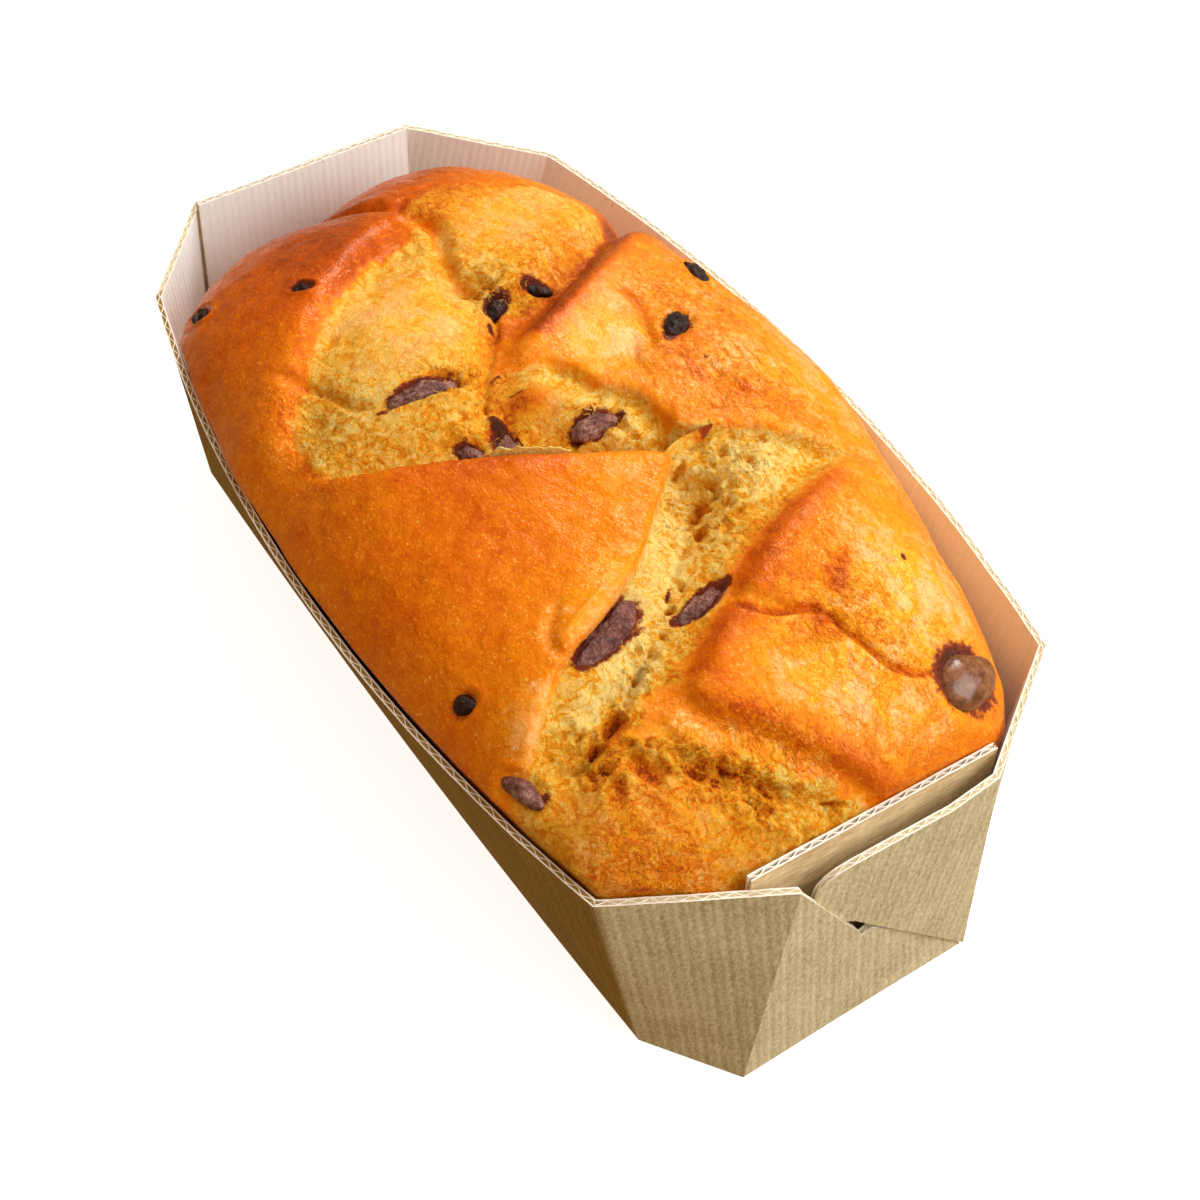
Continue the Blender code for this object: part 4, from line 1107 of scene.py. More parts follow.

# %% [markdown]
# ## Crust and crumb as one material
# Real crust is a thin glazed skin: satin, a little translucent, mottled where the glaze was
# brushed on, with fine pores. Crumb is matt and fuzzy. One material does both, steered by the
# numbers painted above, so there is never a hard seam between them. A few noises of different
# sizes break up the tone before a colour ramp turns it into colour: mottling, streaks and
# cracks where the crust stretched, and veins in the crumb. Golden crust gets peach patches,
# which are a painted highlight.

# %% Bread material
STREAKED = (      # crust that stretched and cracked, with streaks of dark and light
    {"at": (8, 26), "size": (18, 15), "turn": 0},
    {"at": (-10, 33), "size": (12, 12), "turn": 0},
    {"at": (-31, 14), "size": (7, 16), "turn": 30},
    {"at": (64, 12), "size": (21, 17), "turn": -20},
    {"at": (74, -14), "size": (16, 9), "turn": 40},
    {"at": (80, -38), "size": (13, 9), "turn": 40},
    {"at": (-18, -40), "size": (14, 7), "turn": -10},
)
BROWNING = (
    (0.00, (0.95, 0.67, 0.21)),
    (0.15, (0.93, 0.54, 0.090)),
    (0.30, (0.87, 0.385, 0.018)),
    (0.45, (0.83, 0.290, 0.005)),
    (0.60, (0.76, 0.190, 0.002)),
    (0.75, (0.62, 0.108, 0.001)),
    (0.88, (0.44, 0.060, 0.001)),
    (1.00, (0.26, 0.030, 0.001)),
)
PEACH_HIGHLIGHT = (0.94, 0.52, 0.25)      # painted highlight: peach patches on golden crust


def bread_material():
    look, tree, shader = new_material("baked_bread")
    in_crumb = attribute(tree, "crumb")
    blotches = math(tree, "SUBTRACT", noise_of(tree, 11, 2), 0.5)
    mottle = math(tree, "SUBTRACT", noise_of(tree, 2.6, 4, 0.6, warp=0.6), 0.5)
    speckle = math(tree, "SUBTRACT", noise_of(tree, 0.8, 3, 0.7), 0.5)
    flecks = between(tree, noise_of(tree, 0.55, 2, 0.6, warp=0.5), 0.56, 0.70)
    brown = math(tree, "MULTIPLY_ADD", blotches, 0.20, attribute(tree, "tone"))
    brown = math(tree, "MULTIPLY_ADD", mottle, 0.34, brown)
    brown = math(tree, "MULTIPLY_ADD", speckle, 0.20, brown)
    brown = math(tree, "MULTIPLY_ADD", flecks, -0.20, brown)
    torn = math(tree, "SUBTRACT", noise_of(tree, 1.5, 4, 0.65, warp=1.0), 0.5)
    brown = math(tree, "MULTIPLY_ADD", math(tree, "MULTIPLY", torn, in_crumb), 0.75, brown)
    veins = math(tree, "ABSOLUTE", math(tree, "SUBTRACT", noise_of(tree, 3.4, 3, 0.6, warp=0.9),
                                        0.5))
    veins = math(tree, "MULTIPLY", between(tree, veins, 0.0, 0.07, 1.0, 0.0), in_crumb)
    brown = math(tree, "MULTIPLY_ADD", veins, 0.30, brown)
    streaks = math(tree, "SUBTRACT", noise_of(tree, 3.0, 4, 0.65, (0.55, 1, 1), 1.2), 0.5)
    streaks = math(tree, "MULTIPLY", streaks, attribute(tree, "wrinkle"))
    brown = math(tree, "MULTIPLY_ADD", streaks, 1.00, brown)
    cracks = noise_of(tree, 1.5, 4, 0.6, (0.7, 1, 1), 0.7)
    cracks = math(tree, "ABSOLUTE", math(tree, "SUBTRACT", cracks, 0.5))
    cracks = math(tree, "MULTIPLY", between(tree, cracks, 0.0, 0.03, 1.0, 0.0),
                  attribute(tree, "wrinkle"))
    brown = math(tree, "MULTIPLY_ADD", cracks, 0.11, brown)
    colour = ramp(tree, brown, BROWNING)
    crust_share = math(tree, "SUBTRACT", 1.0, in_crumb)
    # painted highlight: peach patches laid on the paler crust only
    peach_highlight = math(tree, "MULTIPLY", between(tree, noise_of(tree, 6.0, 4, 0.65, warp=0.4), 0.44, 0.60),
                 between(tree, brown, 0.32, 0.58, 0.65, 0.0))
    colour = mix(tree, math(tree, "MULTIPLY", peach_highlight, crust_share), colour, PEACH_HIGHLIGHT)

    # chocolate stains, and the painted shade of one dark rim, laid over the colour
    ragged = math(tree, "MULTIPLY_ADD", math(tree, "SUBTRACT", noise_of(tree, 1.4, 4, 0.7), 0.5),
                  0.9, attribute(tree, "smear_and_shade"))
    overlay_share = between(tree, ragged, 0.38, 0.62)
    overlay_tint = ramp(tree, ragged, ((0.35, (0.42, 0.045, 0.006)), (0.75, (0.13, 0.016, 0.008)),
                                (1.0, (0.045, 0.012, 0.009))))
    colour = mix(tree, overlay_share, colour, overlay_tint)
    tree.links.new(colour, shader.inputs["Base Color"])

    glaze = between(tree, noise_of(tree, 3.5, 3, 0.6), 0.3, 0.7, 0.15, 0.36)
    rough = math(tree, "MULTIPLY_ADD", in_crumb, 0.42, glaze, clamp=True)
    tree.links.new(rough, shader.inputs["Roughness"])
    shader.inputs["Specular IOR Level"].default_value = 0.31
    shader.inputs["Specular Tint"].default_value = (1.0, 0.65, 0.31, 1)
    shader.inputs["Subsurface Weight"].default_value = 0.20
    shader.inputs["Subsurface Radius"].default_value = (1.0, 0.35, 0.1)
    shader.inputs["Subsurface Scale"].default_value = 0.002

    pores = math(tree, "MULTIPLY", noise_of(tree, 0.45, 2, 0.5), crust_share)
    skin = math(tree, "MULTIPLY", noise_of(tree, 3.2, 2, 0.5, warp=0.3), crust_share)
    fuzz = math(tree, "MULTIPLY", noise_of(tree, 0.8, 5, 0.7, warp=1.2), in_crumb)
    bumps(tree, shader, ((skin, 0.42), (streaks, 0.9), (cracks, -0.12), (pores, 0.12),
                         (fuzz, 0.75)))
    return look


bread_look = bread_material()
bread = mesh_piece("bread", bread_points, [tuple(int(n) for n in f) for f in faces],
                   [bread_look])
side_zero = np.zeros(side_count)
numbers_on(bread.data, "tone", np.concatenate([bread_tone.ravel(), side_zero + 0.68]))
open_crumb = crumb * (1 - 0.65 * skinned)
numbers_on(bread.data, "crumb", np.concatenate([open_crumb.ravel(), side_zero]))
numbers_on(bread.data, "smear_and_shade", np.concatenate([bread_smear_and_shade.ravel(), side_zero]))
wrinkle = highest_patch(px, py, STREAKED)
numbers_on(bread.data, "wrinkle", np.concatenate([wrinkle.ravel(), side_zero]))
bread.data.shade_smooth()
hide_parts("loaf")
print("bread is done, tones from", round(float(bread_tone.min()), 2), "to",
      round(float(bread_tone.max()), 2))

# %% [markdown]
# ## Chocolate chips
# The chips went in as drops and came out half melted. The big one stands round and glossy, some
# are wrinkled smears pressed in by the dough, and the ones on dry crust are black and angular.
# A sphere would look like a bead, so each chip is a flattened drop with its own lumps, and
# creases or facets are real relief.

# %% Build the chips
CHIP_SLICES = 64
CHIP_STACKS = 34
WRINKLED = ("chip_lobe_edge", "chip_valley", "chip_middle", "chip_long", "chip_cleft",
            "chip_under_lobe")
ANGULAR = ("chip_fold_low", "chip_fold_high", "chip_far_left", "chip_right_side",
           "chip_right_lobe", "chip_far_corner")


def chip_points(chip):
    place, up = surface_point(*chip["at"])
    turn = np.radians(chip["turn"])
    heading = np.array([np.cos(turn), np.sin(turn), 0.0])
    heading -= up * heading.dot(up)
    heading /= np.linalg.norm(heading)
    across = np.cross(up, heading)
    half = np.array(chip["size"])
    middle = place + up * (chip["proud"] - half[2])
    tilt = np.pi * np.arange(1, CHIP_STACKS) / CHIP_STACKS
    spin = 2 * np.pi * np.arange(CHIP_SLICES) / CHIP_SLICES
    tilt, spin = np.meshgrid(tilt, spin, indexing="ij")
    lump = 1 + 0.07 * np.sin(2 * spin + chip["at"][0]) + 0.05 * np.cos(3 * spin + 1)
    local = np.stack([half[0] * lump * np.sin(tilt) * np.cos(spin),
                      half[1] * lump * np.sin(tilt) * np.sin(spin),
                      -half[2] * np.cos(tilt)], -1).reshape(-1, 3)
    local = np.vstack([[0, 0, -half[2]], local, [0, 0, half[2]]])
    outward = local / half ** 2
    outward /= np.linalg.norm(outward, axis=1, keepdims=True)
    seed = chip["at"][0]
    bulges = 0.30 * lumps(local, 3.0, seed)
    if chip["name"] in WRINKLED:
        creases = np.abs(lumps(local * (1.0, 1.8, 1.0), 1.7, seed + 5))
        bulges += 0.75 * (creases - 0.25) + 0.30 * np.abs(lumps(local, 0.8, seed + 9))
    elif chip["name"] in ANGULAR:
        bulges -= 0.8 * np.abs(lumps(local, 2.4, seed + 3)) - 0.35 * lumps(local, 1.1, seed + 4)
    local = local + outward * bulges[:, None]
    return middle + local @ np.array([heading, across, up])


def ball_faces(slices, stacks):
    last = 1 + slices * (stacks - 1)
    faces = [(0, 1 + (j + 1) % slices, 1 + j) for j in range(slices)]
    for i in range(stacks - 2):
        a, b = 1 + slices * i, 1 + slices * (i + 1)
        faces += [(a + j, a + (j + 1) % slices, b + (j + 1) % slices, b + j)
                  for j in range(slices)]
    start = last - slices
    faces += [(start + j, start + (j + 1) % slices, last) for j in range(slices)]
    return faces


def chocolate_material(name, colours, roughness, depth, shine):
    """Chocolate with streaks: colours from dark to bloom, roughness, relief and shine."""
    look, tree, shader = new_material(name)
    streaks = noise_of(tree, 0.9, 4, 0.65, warp=0.8)
    patches = noise_of(tree, 3.0, 2)
    shade = math(tree, "MULTIPLY_ADD", patches, 0.5, math(tree, "MULTIPLY", streaks, 0.5))
    stops = tuple(zip((0.36, 0.50, 0.66), colours))
    tree.links.new(ramp(tree, shade, stops), shader.inputs["Base Color"])
    rough = between(tree, streaks, 0.3, 0.7, *roughness)
    tree.links.new(rough, shader.inputs["Roughness"])
    shader.inputs["Specular IOR Level"].default_value = shine
    bumps(tree, shader, ((streaks, depth),))
    return look


melted_look = chocolate_material("melted_chocolate", ((0.065, 0.010, 0.006),
                                 (0.19, 0.058, 0.040), (0.46, 0.24, 0.185)), (0.26, 0.44), 0.60,
                                 0.45)
dark_look = chocolate_material("dark_chocolate", ((0.008, 0.003, 0.002),
                               (0.018, 0.006, 0.004), (0.060, 0.022, 0.014)), (0.16, 0.34), 0.30,
                               0.20)
brown_look = chocolate_material("milk_chocolate", ((0.09, 0.024, 0.008),
                                (0.20, 0.068, 0.022), (0.34, 0.145, 0.058)), (0.12, 0.22), 0.05,
                                0.42)
chip_looks = {name: melted_look for name in (*WRINKLED, "chip_left_rim")}
chip_looks["chip_big"] = brown_look
for chip in CHIPS:
    look = chip_looks.get(chip["name"], dark_look)
    piece = mesh_piece(chip["name"] + "_melted", chip_points(chip),
                       ball_faces(CHIP_SLICES, CHIP_STACKS), [look])
    piece.data.shade_smooth()
    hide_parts(chip["name"])
print(len(CHIPS), "chips,", WRINKLED[0], "and", len(WRINKLED) - 1, "more are wrinkled")

# %% [markdown]
# ## Shreds of crumb
# A torn loaf ends in thin shreds that stand up along the tear. Displacing the grid can't make
# them, because they overhang, so they are small curved strips set on the coarse crumb. Places
# come from a seeded random choice among the grid points, so every run gives the same loaf.

# %% Build the shreds
SHRED_COUNT = 2600
SHRED_SEED = 11
SHRED_STEPS = 5
SHRED_LENGTH = (0.7, 2.0)      # least and most, in millimetres
SHRED_WIDTH = (0.08, 0.26)
SHRED_CURL = (-0.15, 0.15)
SHRED_LIFT = (0.0, 0.20)
SHRED_TONE = (-0.05, 0.10)


def paint_dough(piece, tones, crumb_amount):
    """Give a small piece of dough the numbers that the bread material reads."""
    plain_zero = np.zeros(len(piece.data.vertices))
    numbers_on(piece.data, "tone", tones)
    numbers_on(piece.data, "crumb", plain_zero + crumb_amount)
    numbers_on(piece.data, "smear_and_shade", plain_zero)
    numbers_on(piece.data, "wrinkle", plain_zero)


def shred_points(place, up, heading, length, width, curl, lift):
    """A tapering strip that curls up off the surface, as a thin closed body."""
    across = np.cross(up, heading)
    points = []
    for i in range(SHRED_STEPS + 1):
        t = i / SHRED_STEPS
        rise = lift * length * t + curl * length * t * t
        middle = place + heading * length * (t - 0.3) + up * (rise - 0.15)
        half = width * (0.15 + np.sin(np.pi * min(0.25 + 0.75 * t, 1.0))) / 2
        thick = 0.07 * (1 - 0.6 * t)
        points += [middle - across * half, middle + up * thick,
                   middle + across * half, middle - up * thick]
    return points


def shred_faces(first):
    faces = [(first + 3, first + 2, first + 1, first)]
    for i in range(SHRED_STEPS):
        a = first + 4 * i
        faces += [(a + k, a + (k + 1) % 4, a + 4 + (k + 1) % 4, a + 4 + k) for k in range(4)]
    end = first + 4 * SHRED_STEPS
    faces.append((end, end + 1, end + 2, end + 3))
    return faces


chance = np.random.default_rng(SHRED_SEED)
weight = (coarse ** 1.5 * crumb).ravel()
weight[oval(px, py, (0, 0), (95, 60)).ravel() > 0.98] = 0
picked = chance.choice(weight.size, SHRED_COUNT, replace=False, p=weight / weight.sum())
slope = np.cross(np.gradient(top, axis=0), np.gradient(top, axis=1)).reshape(-1, 3)
slope /= np.linalg.norm(slope, axis=1, keepdims=True)
shred_all, shred_all_faces, shred_tone = [], [], []
for k in picked:
    up = slope[k]
    spin = chance.uniform(0, 2 * np.pi)
    heading = np.array([np.cos(spin), np.sin(spin), 0.0])
    heading -= up * heading.dot(up)
    heading /= np.linalg.norm(heading)
    shape = shred_points(top.reshape(-1, 3)[k], up, heading, chance.uniform(*SHRED_LENGTH),
                         chance.uniform(*SHRED_WIDTH), chance.uniform(*SHRED_CURL),
                         chance.uniform(*SHRED_LIFT))
    shred_all_faces += shred_faces(len(shred_all))
    shred_all += shape
    shred_tone += [bread_tone.ravel()[k] * 0.7 + chance.uniform(*SHRED_TONE)] * len(shape)
shreds = mesh_piece("crumb_shreds", shred_all, shred_all_faces, [bread_look])
paint_dough(shreds, shred_tone, 1.0)
shreds.data.shade_smooth()
print(SHRED_COUNT, "shreds,", len(shred_all_faces), "faces")

# %% [markdown]
# Behind the far edge of the big lobe a thin ragged fringe of crumb still stands, and at the
# lobe's tip one sliver of crust broke off and sticks up. Both are thin blades: a row of
# stations, each with a low and a high point, given a small thickness.

# %% Build the fringe and the sliver
FRINGE_BACK = 0.9          # how far behind the lobe's edge it stands
FRINGE_SPACING = 0.35
FRINGE_SPAN = (-22, -9)    # the part of the edge that has it, by its place across the loaf
LIP_BEFORE = 2.4           # the lobe's height is taken this far in front of the fringe
BLADE_THICKNESS = 0.25


def blade(name, low, high, tones, crumb_amount):
    """A thin upright blade of dough between a low and a high row of points."""
    low, high = np.array(low, float), np.array(high, float)
    run = np.gradient(low, axis=0)
    side = np.stack([-run[:, 1], run[:, 0], 0 * run[:, 0]], 1)
    side *= BLADE_THICKNESS / np.linalg.norm(side, axis=1, keepdims=True)
    points = np.stack([low, high, high + side, low + side], 1).reshape(-1, 3)
    count = len(low)
    faces = [(4 * i + k, 4 * i + (k + 1) % 4, 4 * (i + 1) + (k + 1) % 4, 4 * (i + 1) + k)
             for i in range(count - 1) for k in range(4)]
    faces += [(3, 2, 1, 0), tuple(4 * (count - 1) + n for n in range(4))]
    piece = mesh_piece(name, points, faces, [bread_look])
    paint_dough(piece, np.repeat(tones, 4), crumb_amount)


def fringe_rows():
    """Rows of the fringe: it follows the far edge of the big lobe, a little behind it."""
    path = smooth_path(CRUST_EDGES[0]["path"], spacing=FRINGE_SPACING)
    path = path[(path[:, 1] < FRINGE_SPAN[1]) & (path[:, 1] > FRINGE_SPAN[0])]
    run = np.gradient(path, axis=0)
    away = np.stack([run[:, 1], -run[:, 0]], 1) / np.linalg.norm(run, axis=1, keepdims=True)
    path = path + away * FRINGE_BACK
    spots = np.stack([path[:, 0], path[:, 1], 0 * path[:, 0]], 1)
    ragged = 0.35 + 0.8 * lumps(spots, 2.2, 2.0) + 1.1 * lumps(spots, 0.9, 5.0)
    ends = fading(np.arange(len(path)), len(path) - 1, (8, 8))
    low = [surface_point(x, y)[0] - (0, 0, 0.5) for x, y in path]
    lip = [surface_point(*(p - LIP_BEFORE * a))[0][2] for p, a in zip(path, away)]
    high = [(x, y, h + e * (0.7 * max(r, -0.1) - 0.1) - (1 - e)) for (x, y), h, r, e in
            zip(path, lip, ragged, ends)]
    return low, high


fringe_low, fringe_high = fringe_rows()
blade("crumb_fringe", fringe_low, fringe_high, np.full(len(fringe_low), -0.10), 1.0)
blade("crust_sliver", ((21.2, 4.3, 69.6), (20.9, 6.4, 70.3), (20.7, 8.1, 70.9), (20.8, 10, 71.2),
                       (20.6, 12.2, 71.6), (19.9, 14.3, 72.6)),
      ((20.2, 4.2, 71.6), (19.5, 6.2, 72.0), (19.2, 8, 72.3), (19.3, 10.3, 72.6),
       (19.4, 12.8, 72.9), (19.6, 14.8, 73.0)), (0.12, 0.14, 0.18, 0.35, 0.95, 1.1), 0.7)
print("fringe of", len(fringe_low), "stations and one sliver")

# %% [markdown]
# ## The paper case
# The case is folded from fine corrugated board: a brown kraft liner outside, a pale liner
# inside, and between them a wavy core, which shows wherever the board is cut. A plain slab
# with a picture of waves would look wrong at the rim, so each panel is made of two thin
# sheets with a real wavy ribbon along its cut edge. The stations below are the folds of the
# board, each with its foot point and its top point.

# %% Stations of the walls
FOOT = 0.05
LINER = 0.26
FLUTE = 3.2
WAVE_SPOTS = 10        # points for each wave of the core
CRUSHED = 0.12         # the walls' rims were crushed nearly shut by the cutter
OPEN = 1.6             # the end panels' edges are still open
SHEET_STEP = 1.6       # distance of the stations of a liner
RIBBON_HALF = 0.09     # half the thickness of the wavy core
RIBBON_CLEAR = 0.08    # and what it keeps clear of the liners


def corner(place):
    return ((*place["base"], FOOT), (*place["rim"], place["top"]))


def side_stations(start, end, bow, count=48):
    feet = long_wall(start, end, np.sign(bow) * BASE_BOW, count, "base")
    rims = long_wall(start, end, bow, count, "rim")
    heights = np.linspace(start["top"], end["top"], len(rims))
    return [((*foot, FOOT), (*rim, height)) for foot, rim, height in zip(feet, rims, heights)]


# Steps along the outer flaps: place across the end, then lower and upper height
FALLING_STEPS = ((24.2, FOOT, 2.2), (-1.0, FOOT, 27.2), (-2.8, FOOT, 26.4), (-4.4, FOOT, 29.3))
RISING_STEPS = ((-15.7, 43.5, 45.8), (-15.2, 42.7, 49.0), (-13.8, 40.5, 51.0),
                (-12.0, 38.0, 52.2), (-9.0, 35.5, 53.0), (-5.8, 33.5, 53.4),
                (-1.4, 28.7, 53.5), (10.0, 16.4, 53.5))


def falling_flap(x_foot, x_slit, x_tip):
    """The outer end flap whose top edge falls away, from its tip to its slit."""
    across = (FALLING_STEPS[-1][0], FALLING_STEPS[0][0])
    return [((x_foot, y, low), (np.interp(y, across, (x_slit, x_tip)), y, high))
            for y, low, high in FALLING_STEPS]


def rising_flap(x_fold, x_slit, x_tip, raised):
    """The outer end flap that laps over the other beyond the slit, its round tip first."""
    across = (RISING_STEPS[0][0], FALLING_STEPS[-1][0], RISING_STEPS[-1][0])
    stations = []
    for y, low, high in RISING_STEPS:
        x = np.interp(y, across, (x_tip, x_slit, x_fold))
        stations.append(((x, y, low), (x, y, high + raised)))
    return stations


def panel_stations(panel):
    """The folded-up inner end panel, which leans a little inward."""
    return [((panel["x"][0], y_base, 0.6), (panel["x"][1], y_top, height))
            for y_base, y_top, height in zip(panel["base"], panel["top"], panel["height"])]


LEFT_WALLS = (falling_flap(93.8, 93.4, 92.6) + [corner(NEAR_LEFT_END)]
              + side_stations(NEAR_LEFT_SIDE, FAR_LEFT_SIDE, -RIM_BOW["left"])
              + [corner(FAR_LEFT_END)] + falling_flap(-95.3, -95.5, -94.5)[::-1])
RIGHT_WALLS = (rising_flap(93.8, 93.5, 92.4, 0.0) + [corner(NEAR_RIGHT_END)]
               + side_stations(NEAR_RIGHT_SIDE, FAR_RIGHT_SIDE, RIM_BOW["right"])
               + [corner(FAR_RIGHT_END)]
               + rising_flap(-95.5, -95.3, -94.4, 1.0)[::-1])
print("left strip:", len(LEFT_WALLS), "stations, right strip:", len(RIGHT_WALLS))

# %% [markdown]
# Before folding, the flutes all ran one way across a flat sheet. Unfolding the strip again in
# code, fold by fold, gives each point its place on that flat sheet. The place across the
# flutes is kept as the number `flute`, so stripes and waves lean on the corner panels just as
# they do on the real case.

# %% Unfold a strip


def unfold_point(foot_2d, top_2d, foot, head, point, forward):
    """Lay a point of the next panel into the flat sheet, beside a known fold line."""
    fold = head - foot
    length = np.linalg.norm(fold)
    offset = point - foot
    along = offset.dot(fold) / length
    away = np.sqrt(max(offset.dot(offset) - along ** 2, 0.0))
    line = (top_2d - foot_2d) / np.linalg.norm(top_2d - foot_2d)
    return foot_2d + along * line + forward * away * np.array([line[1], -line[0]])


def unfold(stations):
    """Places of the feet and tops on the flat sheet, started in the middle of the strip."""
    feet = np.array([s[0] for s in stations], float)
    tops = np.array([s[1] for s in stations], float)
    middle = len(stations) // 2
    flat_feet = np.zeros((len(stations), 2))
    flat_tops = np.zeros((len(stations), 2))
    flat_tops[middle] = (0.0, np.linalg.norm(tops[middle] - feet[middle]))
    for forward in (1, -1):
        i = middle
        while 0 <= i + forward < len(stations):
            known = (flat_feet[i], flat_tops[i], feet[i], tops[i])
            flat_feet[i + forward] = unfold_point(*known, feet[i + forward], forward)
            flat_tops[i + forward] = unfold_point(*known, tops[i + forward], forward)
            i += forward
    return feet, tops, flat_feet[:, 0], flat_tops[:, 0]


def resample(feet, tops, foot_flute, top_flute, step):
    """More stations between the folds, closer than a step of the flutes along the top."""
    shares = []
    for i in range(len(feet) - 1):
        count = max(1, int(np.ceil(abs(top_flute[i + 1] - top_flute[i]) / step)))
        shares += [i + k / count for k in range(count)]
    shares.append(len(feet) - 1)
    at = np.arange(len(feet))
    spread = [np.interp(shares, at, foot_flute), np.interp(shares, at, top_flute)]
    feet = np.stack([np.interp(shares, at, feet[:, k]) for k in range(3)], 1)
    tops = np.stack([np.interp(shares, at, tops[:, k]) for k in range(3)], 1)
    return feet, tops, spread[0], spread[1]


def inset_path(path, distance):
    """The path moved to its left by a distance, with mitred corners."""
    steps = np.diff(path, axis=0)
    steps /= np.linalg.norm(steps, axis=1, keepdims=True)
    normals = np.stack([-steps[:, 1], steps[:, 0]], 1)
    before = np.vstack([normals[:1], normals])
    after = np.vstack([normals, normals[-1:]])
    mitre = before + after
    return path + distance * 2 * mitre / (mitre ** 2).sum(1, keepdims=True)


# %% [markdown]
# A sheet is a thin closed body between two depths in the board. Its outer face, inner face and
# cut edges get their own materials, so kraft, pale liner and raw cream paper each show where
# they do on the real case. The knife left the rim a little uneven, so the top edge dips by a
# few tenths of a millimetre here and there.

# %% Sheets and ribbons
KRAFT, PALE, RAW = 0, 1, 2
RIM_DIPS = 0.35


def layer_at(line, levels_share, inward, depth):
    """Points at one height share and one depth in the board."""
    feet, tops = line[0], line[1]
    outer = (1 - levels_share) * feet + levels_share * tops
    inner = outer.copy()
    inner[:, :2] = inset_path(outer[:, :2], inward * BOARD)
    return outer + (inner - outer) * (np.asarray(depth) / BOARD)[..., None]


def dipped(line):
    """The same stations with the cut top edge made slightly uneven."""
    feet, tops, foot_flute, top_flute = line
    spots = np.stack([top_flute, 0 * top_flute, 0 * top_flute], 1)
    dips = 0.5 + 0.35 * lumps(spots, 2.4, 0.3) + 0.5 * lumps(spots, 9.0, 4.3)
    lowered = tops.copy()
    lowered[:, 2] -= RIM_DIPS * np.clip(dips, 0, 1)
    return feet, lowered, foot_flute, top_flute


def sheet_body(line, inward, near_depth, far_depth, low, high, levels, looks, cut=RAW):
    """Points, faces, face materials and flute numbers of one sheet of the board."""
    foot_flute, top_flute = line[2:]
    count = len(foot_flute)
    shares = low + (high - low) * np.linspace(0, 1, levels)[:, None]
    points, flutes = [], []
    for share in shares:
        for depth in (near_depth, far_depth):
            points.append(layer_at(line, share[:, None], inward, depth))
            flutes.append((1 - share) * foot_flute + share * top_flute)
    faces, kinds = [], []

    def add(a, b, c, d, kind):
        faces.append((a, b, c, d) if inward > 0 else (d, c, b, a))
        kinds.append(kind)

    for k in range(levels - 1):
        a, b = 2 * k * count, 2 * (k + 1) * count
        for i in range(count - 1):
            add(a + i + 1, a + i, b + i, b + i + 1, looks[0])
            add(a + count + i, a + count + i + 1, b + count + i + 1, b + count + i, looks[1])
        for i, flip in ((0, False), (count - 1, True)):
            face = (a + i, a + count + i, b + count + i, b + i)
            add(*(face[::-1] if flip else face), cut)
    end = 2 * (levels - 1) * count
    for i in range(count - 1):
        add(i, i + 1, count + i + 1, count + i, cut)
        add(end + i + 1, end + i, end + count + i, end + count + i + 1, cut)
    return np.vstack(points), faces, kinds, np.concatenate(flutes)


def merge_bodies(bodies):
    points, faces, kinds, flutes = [], [], [], []
    start = 0
    for body in bodies:
        points.append(body[0])
        faces += [tuple(start + n for n in face) for face in body[1]]
        kinds += body[2]
        flutes.append(body[3])
        start += len(body[0])
    return np.vstack(points), faces, kinds, np.concatenate(flutes)


def left_wall_shade(points):
    """1 on the long left wall, whose kraft is darkened there as painted shade, and 0 elsewhere."""
    on_left = smooth_step((-points[:, 1] - 30) / 5)
    near_end = smooth_step((78.5 - points[:, 0]) / 1.5)
    far_end = smooth_step((points[:, 0] + 77) / 1.5)
    return on_left * near_end * far_end


def board_panel(name, stations, inward, looks, open_depth):
    """A run of folded board: two liners, a filled core and the open wavy edge.

    open_depth says how far down the open flutes can be seen, in millimetres."""
    folds = unfold(stations)
    coarse_line = dipped(resample(*folds, SHEET_STEP))
    wavy_line = dipped(resample(*folds, FLUTE / WAVE_SPOTS))
    height = np.linalg.norm(wavy_line[1] - wavy_line[0], axis=1)
    open_from = 1 - open_depth / np.maximum(height, 2 * open_depth)
    coarse_height = np.linalg.norm(coarse_line[1] - coarse_line[0], axis=1)
    core_top = 1 - open_depth / np.maximum(coarse_height, 2 * open_depth)
    wave = np.sin(2 * np.pi * wavy_line[3] / FLUTE)
    swing = (BOARD - 2 * LINER) / 2 - RIBBON_CLEAR
    middle = BOARD / 2 + swing * wave
    bodies = [
        sheet_body(coarse_line, inward, 0.0, LINER, 0.0, 1.0, 6, (KRAFT, RAW)),
        sheet_body(coarse_line, inward, BOARD - LINER, BOARD, 0.0, 1.0, 6, (RAW, PALE)),
        sheet_body(coarse_line, inward, LINER, BOARD - LINER, 0.0, core_top, 2, (RAW, RAW),
                   KRAFT),
        sheet_body(wavy_line, inward, middle - RIBBON_HALF, middle + RIBBON_HALF, open_from,
                   1.0, 3, (RAW, RAW)),
    ]
    points, faces, kinds, flutes = merge_bodies(bodies)
    piece = mesh_piece(name, points, faces, looks)
    piece.data.polygons.foreach_set("material_index", np.array(kinds, np.int32))
    numbers_on(piece.data, "flute", flutes)
    numbers_on(piece.data, "left_wall_shade", left_wall_shade(points))
    piece.data.shade_smooth()
    piece.data.set_sharp_from_angle(angle=np.radians(24))
    return piece


# %% [markdown]
# Kraft paper is never one colour: it has fine dark and light fibres, and the flutes below
# print through as faint stripes. The stripes are a sine of the `flute` number, used a little
# in the colour and a little in the bump. The inside liner is the same with a paler colour, and
# the end panels are a browner kraft whose fibres run along the panel.

# %% Board materials
# painted shade: the tint that darkens the kraft of the long left wall, the side turned from the
# window
LEFT_WALL_SHADE_TINT = (0.52, 0.36, 0.12)


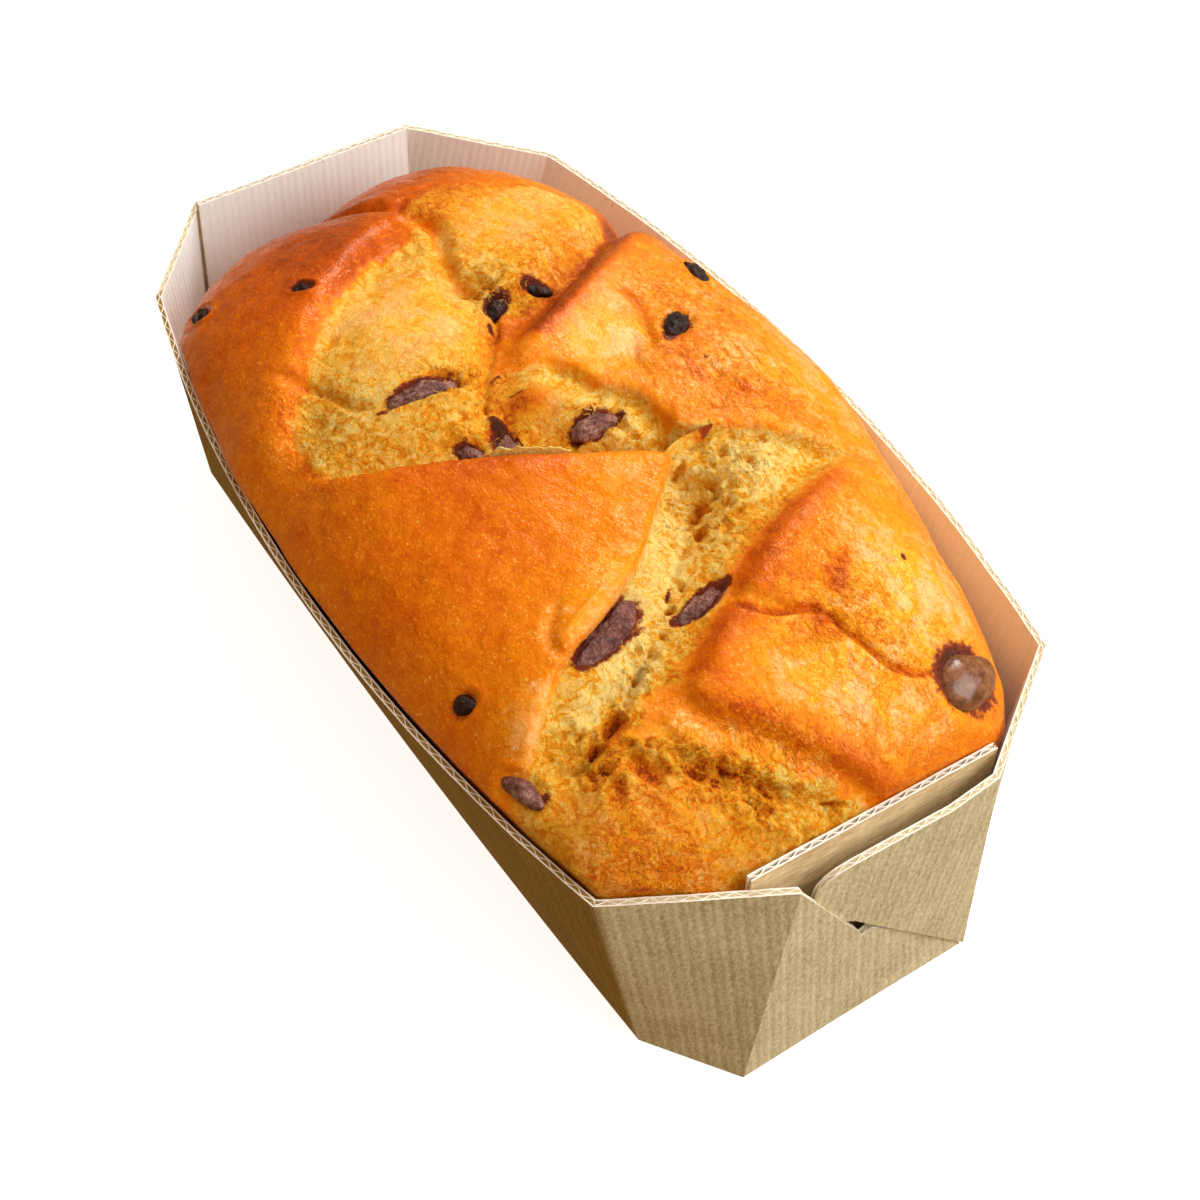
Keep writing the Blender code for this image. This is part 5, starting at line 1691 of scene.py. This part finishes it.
def paper_material(name, dark, light, stripe_strength, stripe_depth, overlay_tint=(1, 1, 1),
                   grain=(1, 1, 0.5)):
    look, tree, shader = new_material(name)
    turns = math(tree, "MULTIPLY", attribute(tree, "flute"), 2 * np.pi / FLUTE)
    wide = math(tree, "MULTIPLY", math(tree, "SINE", turns), 0.22)
    narrow = math(tree, "SINE", math(tree, "MULTIPLY", turns, 2.0))
    stripe = math(tree, "MULTIPLY_ADD", narrow, 0.28, math(tree, "ADD", wide, 0.5))
    fibres = noise_of(tree, 0.50, 3, 0.7, stretch=grain)
    clouds = noise_of(tree, 9, 2)
    shade = math(tree, "MULTIPLY_ADD", math(tree, "SUBTRACT", fibres, 0.5), 1.7, 0.5)
    shade = math(tree, "MULTIPLY_ADD", math(tree, "SUBTRACT", clouds, 0.5), 0.5, shade)
    shade = math(tree, "MULTIPLY_ADD", math(tree, "SUBTRACT", stripe, 0.5), stripe_strength,
                 shade)
    colour = ramp(tree, shade, ((0.15, dark), (0.85, light)))
    specks = between(tree, noise_of(tree, 0.9, 1, 0.5), 0.74, 0.80)
    colour = mix(tree, math(tree, "MULTIPLY", specks, 0.45), colour,
                 tuple(0.35 * c for c in dark))
    # painted shade: where the left wall's number is 1, the colour is multiplied by the given tint
    colour = mix(tree, attribute(tree, "left_wall_shade"), colour, mix(tree, 1.0, colour, overlay_tint,
                                                                "MULTIPLY"))
    tree.links.new(colour, shader.inputs["Base Color"])
    shader.inputs["Roughness"].default_value = 0.88
    shader.inputs["Specular IOR Level"].default_value = 0.2
    bumps(tree, shader, ((stripe, stripe_depth), (fibres, 0.06)))
    return look


def raw_paper_material():
    look, tree, shader = new_material("cut_paper")
    shade = noise_of(tree, 0.8, 3, 0.6)
    tree.links.new(ramp(tree, shade, ((0.3, (0.84, 0.71, 0.58)), (0.7, (0.95, 0.90, 0.82)))),
                   shader.inputs["Base Color"])
    shader.inputs["Roughness"].default_value = 0.92
    shader.inputs["Specular IOR Level"].default_value = 0.2
    bumps(tree, shader, ((shade, 0.08),))
    return look


# the kraft liner carries the painted shade of the long left wall
kraft_look = paper_material("kraft_liner", (0.42, 0.33, 0.17), (0.76, 0.67, 0.43), 0.24, 0.08,
                            LEFT_WALL_SHADE_TINT)
pale_look = paper_material("pale_liner", (0.83, 0.93, 0.89), (0.93, 1.0, 0.99), 0.34, 0.07)
panel_look = paper_material("end_panel_kraft", (0.47, 0.31, 0.15), (0.86, 0.64, 0.38), 0.06, 0.03,
                            grain=(1, 0.12, 1))
raw_look = raw_paper_material()
wall_looks = [kraft_look, pale_look, raw_look]
panel_looks = [panel_look, pale_look, raw_look]

# %% [markdown]
# The walls come from two long strips, one for each side, whose end flaps lock into each other
# at the slit. The end panels fold up from the base between them, and a last flat panel is the
# base itself.

# %% Build the case
BASE_INSET = 0.992      # the base's edge lies inside the feet of the walls

left_walls = board_panel("case_left_walls", LEFT_WALLS, -1, wall_looks, CRUSHED)
right_walls = board_panel("case_right_walls", RIGHT_WALLS, 1, wall_looks, CRUSHED)
near_panel = board_panel("case_near_panel", panel_stations(NEAR_PANEL), 1, panel_looks, OPEN)
far_panel = board_panel("case_far_panel", panel_stations(FAR_PANEL), -1, panel_looks, OPEN)


def base_body():
    """The base panel as a closed slab, kraft below and pale above."""
    ring = wall_ring("base") * BASE_INSET
    count = len(ring)
    points = [(x, y, z) for z in (0.0, BOARD) for x, y in ring]
    faces = [tuple(range(count)), tuple(range(2 * count - 1, count - 1, -1))]
    faces += [(i, i + count, (i + 1) % count + count, (i + 1) % count) for i in range(count)]
    kinds = [KRAFT, PALE] + [RAW] * count
    return points, faces, kinds


points, base_faces, kinds = base_body()
base = mesh_piece("case_base", points, base_faces, wall_looks)
base.data.polygons.foreach_set("material_index", np.array(kinds, np.int32))
numbers_on(base.data, "flute", [p[0] for p in points])
numbers_on(base.data, "left_wall_shade", [0.0] * len(points))
case_pieces = (left_walls, right_walls, near_panel, far_panel, base)
for piece in case_pieces:
    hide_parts("paper_case")
print("case:", sum(len(piece.data.polygons) for piece in case_pieces), "faces")
